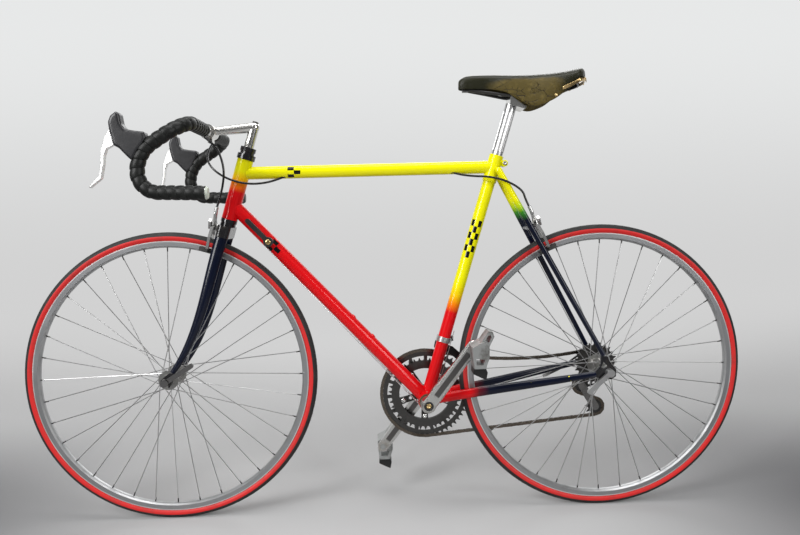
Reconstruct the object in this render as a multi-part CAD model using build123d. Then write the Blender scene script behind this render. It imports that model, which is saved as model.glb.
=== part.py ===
from build123d import *
import math
import os

# A road bicycle with a tubular frame, drop bars and a double chainset.
# The drawing's zero is the bottom bracket centre: x runs rearward, y towards the
# drive side and z up. The parts are written about the point of the saddle top
# where the rider sits. All sizes are in mm and degrees.

# ---------------------------------------------------------------- frame
wheelbase = 998.0
chain_stay_length = 416.0
bracket_drop = 67.0
seat_angle = 73.2
head_angle = 73.0
seat_tube_length = 561.0      # bracket centre to top tube centre
seat_tube_collar = 27.0       # tube above the top tube centre line
fork_length = 375.0           # axle to crown race, along the steering axis
fork_rake = 31.5
head_tube_length = 140.0
head_tube_radius = 18.0
head_tube_bore = 15.2
top_tube_radius = 14.3
top_tube_below_head = 32.0    # centre line below the head tube's top
down_tube_radius = 15.9
down_tube_above_head = 33.5   # centre line above the head tube's bottom
seat_tube_radius = 14.3
bracket_shell_radius = 20.0
bracket_shell_bore = 17.3
bracket_shell_width = 68.0
rear_spacing = 126.0          # between the rear dropouts
front_spacing = 100.0         # between the fork ends
dropout_thickness = 6.0
slot_angle = 240.0            # the axle slot opens down and forward
chain_stay_tip_radius = 6.5
seat_stay_radius = 7.5
seat_stay_tip_radius = 5.5
bridge_height = 330.0         # brake bridge above the rear axle
bridge_radius = 6.0
brake_bolt_bore = 3.1         # radius of the hole in the bridge and the fork crown
seat_lug_radius = 16.2
seat_lug_length = 62.0
binder_height = 12.0          # binder bolt above the top tube centre line
bottle_boss_reach = 194.0     # lower boss from the bracket
bottle_boss_pitch = 64.0
bottle_boss_radius = 5.0
bottle_boss_height = 1.5
bottle_boss_bore = 2.1
bottle_boss_depth = 9.0
shifter_boss_reach = 516.0    # along the down tube
shifter_boss_radius = 6.0
lever_drum_radius = 11.0
shifter_boss_length = 4.0     # beyond the down tube's side
cup_flange_radius = 19.0
cup_flange = 4.0
headset_stack = 12.0          # crown race to the head tube's lower end
fork_end_thickness = 4.0
fork_end_length = 24.0
blade_top_offset = 31.0       # blade centre from the middle plane, in the crown
crown_depth = 30.0
fit = 0.1                     # gap between curved faces that are brazed or pressed
running_fit = 0.05            # radial gap of a shaft that turns in its bore
bearing_gap = 0.3             # between faces that turn past each other

# ---------------------------------------------------------------- wheels
tyre_radius = 334.0
tyre_section = 23.0
rim_radius = 314.0
rim_inner_radius = 299.0
rim_width = 20.0
spoke_count = 36              # in each wheel
spoke_radius = 1.0
spoke_circle = 19.0           # radius of the holes in the hub flange
flange_radius = 22.5
flange_thickness = 2.5
spoke_cross_angle = 60.0      # three-cross lacing
spoke_rim_offset = 1.5
spoke_rim_gap = 0.4
spoke_flange_gap = 0.4
front_axle_radius = 4.5
rear_axle_radius = 5.0
front_flange = 34.0           # flange centre from the wheel's plane
rear_flange_left = 34.0
rear_flange_right = 20.5
front_hub_end = 41.0
rear_hub_end_left = 45.0
rear_hub_end_right = 56.0     # end of the thread that carries the freewheel
hub_barrel_radius = 13.0
freewheel_bore = 14.0

# ---------------------------------------------------------------- drive
chain_pitch = 12.7
roller_radius = 3.85
chain_line = 48.0             # outer ring, chain and jockey wheels
ring_spacing = 6.0
outer_teeth = 52
inner_teeth = 42
cog_teeth = [24, 21, 19, 17, 15, 13]
cog_spacing = 5.5
driven_cog = 4                # the chain runs on this one, counted from the wheel
jockey_teeth = 10
tooth_width = 2.1
ring_bolt_circle = 55.0       # radius
ring_bore = 62.0              # radius inside the chainrings
spare_bolt_circle = 37.0      # radius of the empty holes for a third ring
spider_width = 16.0
ring_tab_radius = 8.0
crank_length = 170.0
crank_angle = 52.3            # of the left crank, up from the rearward axis
crank_inner_face = 59.5       # from the frame's middle plane
crank_thickness = 12.5
crank_boss_radius = 17.0
crank_eye_radius = 12.5
crank_edge = 3.0              # bevel along the outer face
taper_half = 6.35             # half the axle's square
taper_start = 43.0
taper_length = 18.0
dust_cap_radius = 11.0
bolt_seat = 0.5               # crank metal beyond the axle's square end
ring_bolt_radius = 4.0
bolt_head_radius = 8.0
axle_radius = 8.5
pedal_axle_radius = 6.5
jockey_upper = (383.0, 9.0)
jockey_lower = (416.0, -44.0)
slack_slope = 10.0            # of the slack run where it leaves ring and cog
cage_gap = 4.6                # cage plate from the chain's middle
cage_plate = 1.2
tooth_height = 3.6            # above the pitch circle
link_plate = 1.0
link_inner_gap = 2.5          # between the inner plates
link_edge = 3.6               # half height of a link plate at its pin
pedal_inner = 77.5            # from the middle plane
pedal_outer = 134.0
pedal_loop_width = 40.0
pedal_block = [(-13, 8), (4, 17), (12, 20), (24, 12), (24, -14), (16, -38), (-8, -40), (-12, -12)]
pedal_loop = [(4, 14), (15, 30), (24, 42), (33, 40), (36, 30), (30, 18), (24, 6)]
pedal_loop_hole = [(15, 19), (22, 32), (28, 35), (30, 28), (25, 18)]
pedal_hook = [(-9, -36), (16, -36), (21, -48), (18, -64), (8, -60), (-10, -51)]
pedal_window = [(-5, -16), (15, -18), (11, -30), (-4, -30)]

# ---------------------------------------------------------------- bars and saddle
bar_width = 400.0             # centre to centre of the drops
bar_radius = 11.9
bar_sleeve_wall = 1.0
bar_sleeve_length = 84.0
tape_thickness = 2.5
tape_start = 52.0             # from the middle plane
tape_end_gap = 2.0            # bare bar beyond the tape, under the plug's flange
clamp_centre = Vector(-483, 0, 624)
steerer_radius = 12.7
quill_radius = 11.1
seatpost_radius = 13.1
hood_width = 28.0
hood_edge = 3.5               # bevel round the hood
lever_width = 14.0
lever_edge = 0.9
seatpost_top = 707.0          # along the seat tube axis
flute_count = 10
flute_radius = 2.6
rail_offset = 22.0            # rail from the middle plane, at the clamp
rail_radius = 3.5
leather = 4.5                 # thickness
saddle_nose_wall = 7.0
cantle_height = 11.0
pad_gap = 5.0                 # brake pad to rim
pad_length = 42.0
pad_height = 10.0
pad_thickness = 8.0
cable_radius = 2.5
wire_radius = 0.8
rider_point = Vector(247, 0, 742)
bar_sleeve_radius = bar_radius + bar_sleeve_wall
tape_radius = bar_radius + tape_thickness

# ---------------------------------------------------------------- derived points
rear_axle = Vector(math.sqrt(chain_stay_length**2 - bracket_drop**2), 0, bracket_drop)
front_axle = rear_axle - Vector(wheelbase, 0, 0)
across = Vector(0, 1, 0)


def heading(angle):
    """Unit vector in the frame's middle plane, angle up from the rearward axis."""
    return Vector(math.cos(math.radians(angle)), 0, math.sin(math.radians(angle)))


steer_up = heading(head_angle)
steer_forward = heading(head_angle + 90)
crown_race = front_axle + steer_up * fork_length - steer_forward * fork_rake
head_low = crown_race + steer_up * headset_stack
head_high = head_low + steer_up * head_tube_length
seat_up = heading(seat_angle)
seat_cluster = seat_up * seat_tube_length
seat_tube_top = seat_up * (seat_tube_length + seat_tube_collar)
top_tube_front = head_high - steer_up * top_tube_below_head
down_tube_front = head_low + steer_up * down_tube_above_head
down_tube_axis = down_tube_front.normalized()
down_tube_up = Vector(down_tube_axis.Z, 0, -down_tube_axis.X)


# ---------------------------------------------------------------- shapes
def rod(start, end, radius, end_radius=None):
    """Solid round bar between two points, tapered when end_radius is given."""
    start, end = Vector(*start), Vector(*end)
    base = Plane(origin=start, z_dir=end - start)
    length = (end - start).length
    if end_radius is None or abs(end_radius - radius) < 1e-6:
        return Solid.make_cylinder(radius, length, base)
    return Solid.make_cone(radius, end_radius, length, base)


def pipe(start, end, radius, bore):
    """Round tube between two points."""
    return rod(start, end, radius) - rod(start, end, bore)


def disc(centre, radius, y_low, y_high):
    """Solid of revolution along y, between two distances from the middle plane."""
    start = Vector(centre.X, y_low, centre.Z)
    return rod(start, Vector(centre.X, y_high, centre.Z), radius)


def slab(outline, y_low, y_high):
    """Flat plate parallel to the middle plane, from its (x, z) outline."""
    face = make_face(Polyline(*[(x, 0, z) for x, z in outline], close=True))
    return extrude(Pos(0, y_low, 0) * face, amount=y_high - y_low, dir=(0, 1, 0))


def strap(points, width, y_low, y_high, radius=None):
    """Flat bar of one width with round ends, along (x, z) points."""
    line = Polyline(*points) if radius is None else FilletPolyline(*points, radius=radius)
    ends = [Pos(*point) * Circle(width / 2) for point in (points[0], points[-1])]
    ribbon = trace(line, width) + ends[0] + ends[1]
    plane = Plane(origin=(0, y_low, 0), x_dir=(1, 0, 0), z_dir=(0, -1, 0))
    return extrude(plane * ribbon, amount=y_low - y_high)


def spun(centre, outline):
    """Ring of revolution about the y axis through centre, from (radius, y) points."""
    profile = make_face(Polyline(*outline, close=True))
    return Pos(*centre) * revolve(profile, Axis.Y)


def swept(points, radii, radius, bore=0.0):
    """Round bar, or tube when it has a bore, along straight runs and tangent arcs."""
    path = FilletPolyline(*points, radius=radii)
    section = Circle(radius) - Circle(bore) if bore else Circle(radius)
    return sweep(Plane(origin=path @ 0, z_dir=path % 0) * section, path)


def both_sides(shape):
    """The shape and its mirror image across the middle plane."""
    return [shape, mirror(shape, about=Plane.XZ)]


def solids_of(*shapes):
    """Every solid in the shapes given, as one flat list."""
    found = []
    for shape in shapes:
        found += solids_of(*shape) if isinstance(shape, list) else list(shape.solids())
    return found


# ---------------------------------------------------------------- frame tubes
def head_tube():
    tube = pipe(head_low, head_high, head_tube_radius, head_tube_bore)
    return [tube]


def down_tube_line(distance):
    """Point on the down tube's centre line, measured from the bracket."""
    return down_tube_axis * distance




def bottle_boss(distance):
    foot = down_tube_line(distance)
    top = foot + down_tube_up * (down_tube_radius + bottle_boss_height)
    hole = rod(top - down_tube_up * bottle_boss_depth, top + down_tube_up, bottle_boss_bore)
    return rod(foot, top, bottle_boss_radius), hole


def down_tube():
    tube = rod(Vector(0, 0, 0), down_tube_front, down_tube_radius)
    holes = []
    for step in range(2):
        boss, hole = bottle_boss(bottle_boss_reach + step * bottle_boss_pitch)
        tube += boss
        holes.append(hole)
    centre = down_tube_line(shifter_boss_reach)
    reach = down_tube_radius + shifter_boss_length
    tube += disc(centre, shifter_boss_radius, -reach, reach)
    for hole in holes:
        tube -= hole
    tube -= rod(head_low - steer_up * 50, head_high, head_tube_radius + fit)
    tube -= disc(Vector(0, 0, 0), bracket_shell_radius + fit, -60, 60)
    return [tube]


def top_tube():
    tube = rod(top_tube_front, seat_cluster, top_tube_radius)
    tube -= rod(head_low, head_high + steer_up * 10, head_tube_radius + fit)
    tube -= rod(Vector(0, 0, 0), seat_tube_top, seat_lug_radius + fit)
    for inside, outside in (rear_cable_front_points[:-3:-1], rear_cable_rear_points[:2]):
        tube -= rod(inside, outside, cable_radius + 0.6)
    return [tube]


def seat_tube():
    top = seat_up * (seat_tube_length + seat_tube_collar)
    tube = rod(Vector(0, 0, 0), top, seat_tube_radius)
    tube -= rod(seat_up * 300, top + seat_up, seatpost_radius + fit)
    tube -= disc(Vector(0, 0, 0), bracket_shell_radius + fit, -60, 60)
    tube -= rod(Vector(0, 0, 0), down_tube_line(120), down_tube_radius + fit)
    return [tube]


def seat_lug():
    """Cast sleeve round the seat tube with the binder bolt's ears behind it."""
    low = seat_up * (seat_tube_length + seat_tube_collar - seat_lug_length)
    sleeve = rod(low, seat_tube_top, seat_lug_radius)
    centre = seat_up * (seat_tube_length + binder_height)
    ear = centre + Vector(21, 0, -4)
    sleeve += disc(ear, 7.5, -11, 11)
    sleeve += Pos(*(centre + Vector(12, 0, -4))) * Box(20, 16, 13)
    sleeve -= rod(low - seat_up, seat_tube_top + seat_up, seat_tube_radius + fit)
    slot = Pos(*(centre + Vector(22, 0, 0))) * Box(30, 2, 44)
    return [sleeve - slot]


def bracket_shell():
    half = bracket_shell_width / 2
    shell = disc(Vector(0, 0, 0), bracket_shell_radius, -half, half)
    return [shell - disc(Vector(0, 0, 0), bracket_shell_bore, -half - 1, half + 1)]


def bracket_cups():
    half = bracket_shell_width / 2
    cup = disc(Vector(0, 0, 0), bracket_shell_bore - fit, half - 14, half)
    cup += disc(Vector(0, 0, 0), cup_flange_radius, half, half + cup_flange)
    cup -= disc(Vector(0, 0, 0), axle_radius + running_fit, half - 15, half + cup_flange + 1)
    return both_sides(cup)


# The chain stays are squeezed narrow where they pass the tyre and the chainrings.
chain_stay_sections = [       # x, distance from the middle plane, half width, half height
    (0.0, 23.0, 8.5, 10.5),
    (85.0, 26.0, 8.3, 11.0),
    (230.0, 45.0, 8.6, 10.0),
]
chain_stay_end = 30.0         # from the axle to the stay's end
dropout_centre = rear_spacing / 2 + dropout_thickness / 2


def stay_loft(sections):
    """Lofted tube through oval sections: centre, direction, half width, half height."""
    faces = []
    for centre, direction, half_width, half_height in sections:
        plane = Plane(origin=centre, x_dir=across - direction * direction.dot(across),
                      z_dir=direction)
        faces.append(plane * Ellipse(half_width, half_height))
    return loft(faces)


def chain_stay():
    slope = rear_axle.Z / rear_axle.X
    direction = Vector(1, 0, slope).normalized()
    sections = [(Vector(x, y, x * slope), direction, width, height)
                for x, y, width, height in chain_stay_sections]
    tip_x = rear_axle.X - chain_stay_end
    tip = Vector(tip_x, dropout_centre, tip_x * slope)
    sections.append((tip, direction, chain_stay_tip_radius, chain_stay_tip_radius))
    return stay_loft(sections) - disc(Vector(0, 0, 0), bracket_shell_radius + fit, 0, 60)


def chain_stays():
    """Both stays, joined by the small bridge in front of the tyre."""
    x = 60.0
    slope = rear_axle.Z / rear_axle.X
    centre = Vector(x, 0, x * slope)
    bridge = disc(centre, 5.0, -24, 24)
    left, right = both_sides(chain_stay())
    return [left + right + bridge]


seat_stay_top_offset = 21.0
seat_stay_top = seat_cluster + Vector(9, 0, -9)
seat_stay_tip = rear_axle + Vector(-11, 0, 38)


def seat_stay_point(share):
    """Point on the drive side seat stay's centre line, from its top."""
    top = seat_stay_top + across * seat_stay_top_offset
    tip = seat_stay_tip + across * dropout_centre
    return top + (tip - top) * share


bridge_share = (seat_stay_top.Z - rear_axle.Z - bridge_height) / (seat_stay_top.Z - seat_stay_tip.Z)
bridge_centre = seat_stay_point(bridge_share) * 1.0 - across * seat_stay_point(bridge_share).Y


def seat_stays():
    """Both stays with the brake bridge; the top ends are capped beside the lug."""
    stay = rod(seat_stay_point(0), seat_stay_point(1), seat_stay_radius, seat_stay_tip_radius)
    stay += Pos(*seat_stay_point(0)) * Sphere(seat_stay_radius)
    left, right = both_sides(stay)
    half = seat_stay_point(bridge_share).Y
    bridge = disc(bridge_centre, bridge_radius, -half, half)
    bridge -= rod(bridge_centre - rear_brake_out * 20, bridge_centre + rear_brake_out * 20, brake_bolt_bore)
    joined = left + right + bridge
    axis_low = seat_up * (seat_tube_length - 60)
    return [joined - rod(axis_low, seat_tube_top, seat_lug_radius + fit)]


def rear_dropout(side):
    """Forged plate with the axle slot, a window, and the hanger on the drive side."""
    x, z = rear_axle.X, rear_axle.Z
    slope = rear_axle.Z / rear_axle.X
    along = Vector(1, 0, slope).normalized()
    square = Vector(-along.Z, 0, along.X)
    tip_x = x - chain_stay_end
    heel = Vector(tip_x, 0, tip_x * slope) + along * fit
    low, high = heel - square * 7, heel + square * 7
    tip = seat_stay_tip
    outline = [(low.X, low.Z), (high.X, high.Z), (x - 20, z + 14),
               (tip.X - 7, tip.Z - 1), (tip.X + 6, tip.Z - 1), (x + 6, z + 18), (x + 17, z + 6),
               (x + 16, z - 10), (x + 6, z - 17), (x - 8, z - 16)]
    if side > 0:
        outline[8:9] = [(x + 16, z - 34), (x + 2, z - 36)]
    plate = slab(outline, side * (rear_spacing / 2), side * (rear_spacing / 2 + dropout_thickness))
    inner, outer = sorted([side * 60, side * 75])
    mouth = rear_axle + heading(slot_angle) * 30
    plate -= strap([(x, z), (mouth.X, mouth.Z)], 2 * (rear_axle_radius + fit), inner, outer)
    window = [(x - 17, z + 12), (x - 12, z + 24), (x - 3, z + 13), (x - 11, z + 8)]
    plate -= slab(window, inner, outer)
    stay = rod(seat_stay_point(0), seat_stay_point(1), seat_stay_radius, seat_stay_tip_radius)
    return plate - (stay if side > 0 else mirror(stay, about=Plane.XZ))


def rear_dropouts():
    return [rear_dropout(-1), rear_dropout(1)]


def headset_cups():
    """The two cups pressed into the head tube."""
    bore = steerer_radius + running_fit
    low = pipe(head_low - steer_up * 8, head_low, 18.5, bore)
    low += pipe(head_low, head_low + steer_up * 10, head_tube_bore - fit, bore)
    high = pipe(head_high, head_high + steer_up * 7, 20.5, bore)
    high += pipe(head_high - steer_up * 10, head_high, head_tube_bore - fit, bore)
    return [low, high]


# ---------------------------------------------------------------- wheels
def tyre(centre):
    middle = tyre_radius - tyre_section / 2
    section = Pos(middle, 0) * Circle(tyre_section / 2)
    section -= Pos(rim_radius - 20, 0) * Rectangle(40, 40)
    return [Pos(*centre) * revolve(section, Axis.Y)]


def rim(centre):
    half = rim_width / 2
    profile = [(rim_radius - fit, half), (rim_radius - 11, half - 0.5),
               (rim_inner_radius + 1, half - 4.5), (rim_inner_radius, half - 7)]
    mirrored = [(r, -y) for r, y in reversed(profile)]
    return [spun(centre, profile + mirrored)]


def leaving_point(hole, rim_end):
    """Where a spoke's line, going out from its hole, comes to the flange's rim."""
    run = Vector(rim_end.X - hole.X, 0, rim_end.Z - hole.Z)
    a, b = run.dot(run), hole.dot(run)
    c = hole.dot(hole) - (flange_radius - 2)**2
    return hole + run * ((-b + math.sqrt(b * b - a * c)) / a)


def spokes(centre, flange_left, flange_right):
    """Straight spokes laced three-cross, alternately outside and inside each flange."""
    made = []
    per_side = spoke_count // 2
    beside = flange_thickness / 2 + spoke_radius + spoke_flange_gap
    for side, flange in ((-1, flange_left), (1, flange_right)):
        for count in range(per_side):
            leading = count % 2 == 0
            at_hub = 360.0 / per_side * count + (180.0 / per_side if side > 0 else 0)
            at_rim = at_hub + (spoke_cross_angle if leading else -spoke_cross_angle)
            offset = beside if leading else -beside
            hub_hole = heading(at_hub) * spoke_circle
            rim_end = heading(at_rim) * (rim_inner_radius - spoke_rim_gap)
            rim_end += across * (side * spoke_rim_offset)
            hub_end = leaving_point(hub_hole, rim_end) + across * (side * (flange + offset))
            profile = RegularPolygon(spoke_radius, 6)
            path = Plane(origin=centre + hub_end, z_dir=rim_end - hub_end)
            made.append(extrude(path * profile, amount=(rim_end - hub_end).length))
    return made


def hub(centre, axle, flange_left, flange_right, end_left, end_right, end_radius):
    """Turned shell with two flanges."""
    half = flange_thickness / 2
    bore = axle + running_fit
    barrel = hub_barrel_radius
    outline = [(bore, -end_left), (end_radius, -end_left), (end_radius, -flange_left - half),
               (flange_radius, -flange_left - half), (flange_radius, -flange_left + half),
               (barrel + 2, -flange_left + half), (barrel - 2, -flange_left + 12),
               (barrel - 2, flange_right - 12), (barrel + 2, flange_right - half),
               (flange_radius, flange_right - half), (flange_radius, flange_right + half),
               (end_radius, flange_right + half), (end_radius, end_right), (bore, end_right)]
    return [spun(centre, outline)]


def axle_set(centre, radius, spacing, end_left, end_right, plate):
    """Axle with its locknuts, and the quick release nut and lever body outside."""
    half = spacing / 2
    outside = half + plate
    axle = disc(centre, radius, -outside, outside)
    axle += disc(centre, radius + 4.5, -half, -end_left - bearing_gap)
    axle += disc(centre, radius + 4.5, end_right + bearing_gap, half)
    axle += disc(centre, 8.5, outside, outside + 11)
    axle += disc(centre, 9.0, -outside - 16, -outside)
    return axle


def quick_lever(centre, plate_face, angle, length):
    """The quick release lever, lying flat beside the wheel."""
    along = heading(angle)
    root = centre + along * 7
    tip = centre + along * length
    points = [(root.X, root.Z), (tip.X, tip.Z)]
    return strap(points, 11, plate_face - 12, plate_face - 6)


def rear_axle_set():
    plate = dropout_thickness
    axle = axle_set(rear_axle, rear_axle_radius, rear_spacing,
                    rear_hub_end_left, rear_hub_end_right, plate)
    return [axle + quick_lever(rear_axle, -rear_spacing / 2 - plate, 222, 62)]


def front_axle_set():
    axle = axle_set(front_axle, front_axle_radius, front_spacing,
                    front_hub_end, front_hub_end, fork_end_thickness)
    return [axle + quick_lever(front_axle, -front_spacing / 2 - fork_end_thickness, 32, 70)]


# ---------------------------------------------------------------- sprockets and chain
def pitch_radius(teeth):
    return chain_pitch / 2 / math.sin(math.pi / teeth)


def sprocket(centre, teeth, y_middle, bore, phase=0.0, width=tooth_width):
    """Toothed disc; phase is the angle of a gap between two teeth."""
    pitch = pitch_radius(teeth)
    step = 360.0 / teeth
    root = pitch - roller_radius - fit
    outline = []
    for tooth in range(teeth):
        gap = phase + tooth * step
        for radius, share in ((root, -0.2), (root, 0.2), (pitch + tooth_height, 0.46),
                              (pitch + tooth_height, 0.54)):
            point = centre + heading(gap + share * step) * radius
            outline.append((point.X, point.Z))
    plate = slab(outline, y_middle - width / 2, y_middle + width / 2)
    return plate - disc(centre, bore, y_middle - width, y_middle + width)


def tangent(start, start_turn, end, end_turn):
    """Where a tight chain leaves one circle (x, z, radius) and meets the next."""
    dx, dz = end[0] - start[0], end[1] - start[1]
    lean = math.asin((end_turn * end[2] - start_turn * start[2]) / math.hypot(dx, dz))
    course = math.atan2(dz, dx) - lean
    left = (-math.sin(course), math.cos(course))
    return [(c[0] - turn * c[2] * left[0], c[1] - turn * c[2] * left[1])
            for c, turn in ((start, start_turn), (end, end_turn))]


def arc_points(circle, turn, first, last):
    """Fine points along a circle from one point to another, turning one way."""
    a0 = math.atan2(first[1] - circle[1], first[0] - circle[0])
    a1 = math.atan2(last[1] - circle[1], last[0] - circle[0])
    sweep_angle = ((a1 - a0) * turn) % (2 * math.pi) * turn
    count = max(8, int(abs(sweep_angle) * circle[2] / 0.5))
    return [(circle[0] + circle[2] * math.cos(a0 + sweep_angle * i / count),
             circle[1] + circle[2] * math.sin(a0 + sweep_angle * i / count))
            for i in range(count + 1)]


def step_along(points, pitch):
    """Pins one pitch apart along fine points, and what is left over at the end."""
    pins = [points[0]]
    here = points[0]
    for before, after in zip(points, points[1:]):
        while math.dist(here, after) >= pitch:
            low, high = 0.0, 1.0
            for _ in range(40):
                share = (low + high) / 2
                guess = (before[0] + (after[0] - before[0]) * share,
                         before[1] + (after[1] - before[1]) * share)
                if math.dist(here, guess) < pitch:
                    low = share
                else:
                    high = share
            here = before = guess
            pins.append(here)
    return pins


def sagging_run(start, end, sag, count=200):
    """Fine points of a slack run that hangs below its chord by sag at the middle."""
    return [(start[0] + (end[0] - start[0]) * i / count,
             start[1] + (end[1] - start[1]) * i / count - 4 * sag * (i / count) * (1 - i / count))
            for i in range(count + 1)]


def run_length(points):
    return sum(math.dist(a, b) for a, b in zip(points, points[1:]))


def on_circle(circle, angle):
    centre_x, centre_z, radius = circle
    return (centre_x + radius * math.cos(math.radians(angle)),
            centre_z + radius * math.sin(math.radians(angle)))


def chain_pins():
    """Pin centres round the outer ring, both jockey wheels and the driven cog."""
    ring = (0.0, 0.0, pitch_radius(outer_teeth))
    low = (*jockey_lower, pitch_radius(jockey_teeth))
    high = (*jockey_upper, pitch_radius(jockey_teeth))
    cog = (rear_axle.X, rear_axle.Z, pitch_radius(cog_teeth[driven_cog]))
    leave_cog, meet_high = tangent(cog, -1, high, 1)
    leave_high, meet_lower = tangent(high, 1, low, -1)
    leave_low, meet_ring = tangent(low, -1, ring, -1)
    # Tight part, walked from the cog's top rearward and down to the ring's top.
    top = on_circle(cog, 90 + slack_slope)
    ring_top = on_circle(ring, 90 - slack_slope)
    path = arc_points(cog, -1, top, leave_cog)
    path += arc_points(high, 1, meet_high, leave_high)
    path += arc_points(low, -1, meet_lower, leave_low)
    path += arc_points(ring, -1, meet_ring, ring_top)
    pins = step_along(path, chain_pitch)
    # Slack part: as many links as span it, hanging as low as they must.
    last, first = pins[-1], pins[0]
    links = math.ceil(math.dist(last, first) / chain_pitch + 0.15)
    if (len(pins) - 1 + links) % 2:
        links += 1
    shallow, deep = 0.0, 120.0
    for _ in range(40):
        sag = (shallow + deep) / 2
        if run_length(sagging_run(last, first, sag)) < links * chain_pitch:
            shallow = sag
        else:
            deep = sag
    slack = step_along(sagging_run(last, first, sag), run_length(sagging_run(last, first, sag)) / links)
    return pins + slack[1:links], sag


pins, chain_sag = chain_pins()


def link_outline(length):
    """Link plate in its own axes: two round ends and a narrower waist."""
    end = [(length - link_edge * math.sin(math.radians(a)) * -1, link_edge * math.cos(math.radians(a)))
           for a in (0, 60, 120, 180)]
    start = [(-x + length, -z) for x, z in end]
    return end + start


def chain():
    """Alternate inner links, with their rollers, and pairs of outer plates."""
    made = []
    inner = link_inner_gap / 2
    outer = inner + link_plate + running_fit
    for count, (x, z) in enumerate(pins):
        nx, nz = pins[(count + 1) % len(pins)]
        length = math.hypot(nx - x, nz - z)
        angle = math.degrees(math.atan2(nz - z, nx - x))
        place = Pos(x, chain_line, z) * Rot(0, -angle, 0)
        outline = link_outline(length)
        if count % 2 == 0:
            link = slab(outline, inner, inner + link_plate)
            link += slab(outline, -inner - link_plate, -inner)
            for end in (0.0, length):
                roller = RegularPolygon(roller_radius, 6)
                plane = Plane(origin=(end, -inner, 0), x_dir=(1, 0, 0), z_dir=(0, 1, 0))
                link += extrude(plane * roller, amount=2 * inner)
            made.append(place * link)
        else:
            made.append(place * slab(outline, outer, outer + link_plate))
            made.append(place * slab(outline, -outer - link_plate, -outer))
    return made


def phase_of(pin, centre):
    """Angle of a pin about a sprocket's centre."""
    return math.degrees(math.atan2(pin[1] - centre.Z, pin[0] - centre.X))


def nearest_pin(centre, teeth):
    """The pin that lies best in a gap of the sprocket."""
    pitch = pitch_radius(teeth)
    return min(pins, key=lambda p: abs(math.hypot(p[0] - centre.X, p[1] - centre.Z) - pitch))


def freewheel():
    """Six cogs on their body, in mesh with the chain."""
    bore = hub_barrel_radius + 4
    made = None
    first = chain_line - driven_cog * cog_spacing
    for count, teeth in enumerate(cog_teeth):
        y = first + count * cog_spacing
        phase = phase_of(nearest_pin(rear_axle, cog_teeth[driven_cog]), rear_axle)
        cog = sprocket(rear_axle, teeth, y, bore - 2, phase)
        made = cog if made is None else made + cog
    body = disc(rear_axle, bore, first - tooth_width / 2, first + 5 * cog_spacing + tooth_width / 2)
    body -= disc(rear_axle, freewheel_bore, first - 5, first + 40)
    return [made + body]


def ring_tabs(ring, y_middle):
    """Adds the five bolt tabs inside a chainring and their holes."""
    low, high = y_middle - tooth_width / 2, y_middle + tooth_width / 2
    for angle in spider_angles():
        tip = heading(angle) * ring_bolt_circle
        root = heading(angle) * (ring_bore + 2)
        ring += strap([(root.X, root.Z), (tip.X, tip.Z)], 2 * ring_tab_radius, low, high)
    for angle in spider_angles():
        ring -= bolt_hole(Vector(0, 0, 0), angle, ring_bolt_circle, ring_bolt_radius, low - 1, high + 1)
    return ring


def outer_chainring():
    """Large ring, with three long slots between the arms."""
    phase = phase_of(nearest_pin(Vector(0, 0, 0), outer_teeth), Vector(0, 0, 0))
    ring = sprocket(Vector(0, 0, 0), outer_teeth, chain_line, ring_bore, phase)
    low, high = chain_line - tooth_width, chain_line + tooth_width
    for arm in spider_angles():
        for turn in (-24, 0, 24):
            ring -= sector(81, 91, arm + turn - 9.2, arm + turn + 9.2, low, high)
    return [ring_tabs(ring, chain_line)]


def sector(inner, outer, low_angle, high_angle, y_low, y_high):
    """Block of a ring about the bracket, between two radii and two angles."""
    middle = (low_angle + high_angle) / 2
    corners = [heading(low_angle) * inner, heading(low_angle) * outer, heading(middle) * outer,
               heading(high_angle) * outer, heading(high_angle) * inner, heading(middle) * inner]
    return slab([(c.X, c.Z) for c in corners], y_low, y_high)


def spider_angles():
    return [crank_angle + 180 + 36 + 72 * step for step in range(5)]


def inner_chainring():
    y_middle = chain_line - ring_spacing
    return [ring_tabs(sprocket(Vector(0, 0, 0), inner_teeth, y_middle, ring_bore), y_middle)]


def bolt_hole(centre, angle, distance, radius, y_low, y_high):
    """Hole across a plate, at a distance and angle from a centre."""
    return disc(centre + heading(angle) * distance, radius, y_low, y_high)


def crank_arm(angle, side):
    """Tapered arm with a bevelled face, its boss on the axle and the pedal eye."""
    eye = heading(angle) * crank_length
    face = crank_inner_face + crank_thickness
    rounds = Circle(crank_boss_radius - 1.0).edges() + (Pos(crank_length, 0) * Circle(crank_eye_radius)).edges()
    arm = extrude(make_hull(rounds), amount=crank_thickness)
    outer_edges = arm.faces().sort_by(Axis.Z)[-1].edges()
    arm = chamfer(outer_edges, crank_edge)
    turned = Plane(origin=(0, side * crank_inner_face, 0), x_dir=heading(angle), z_dir=(0, side, 0))
    arm = turned.location * arm
    arm += disc(Vector(0, 0, 0), crank_boss_radius, *sorted([side * taper_start, side * (face - crank_edge)]))
    seat = taper_start + taper_length + bolt_seat
    hole = 2 * (taper_half + running_fit)
    middle = side * (taper_start - 1 + seat) / 2
    arm -= Rot(0, -crank_angle, 0) * Pos(0, middle, 0) * Box(hole, seat - taper_start + 1, hole)
    arm -= disc(Vector(0, 0, 0), dust_cap_radius, *sorted([side * seat, side * (face + 1)]))
    arm -= disc(eye, pedal_axle_radius + running_fit, *sorted([side * (crank_inner_face - 1), side * (face + 1)]))
    return arm


def crank_left():
    return [crank_arm(crank_angle, -1)]


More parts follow.
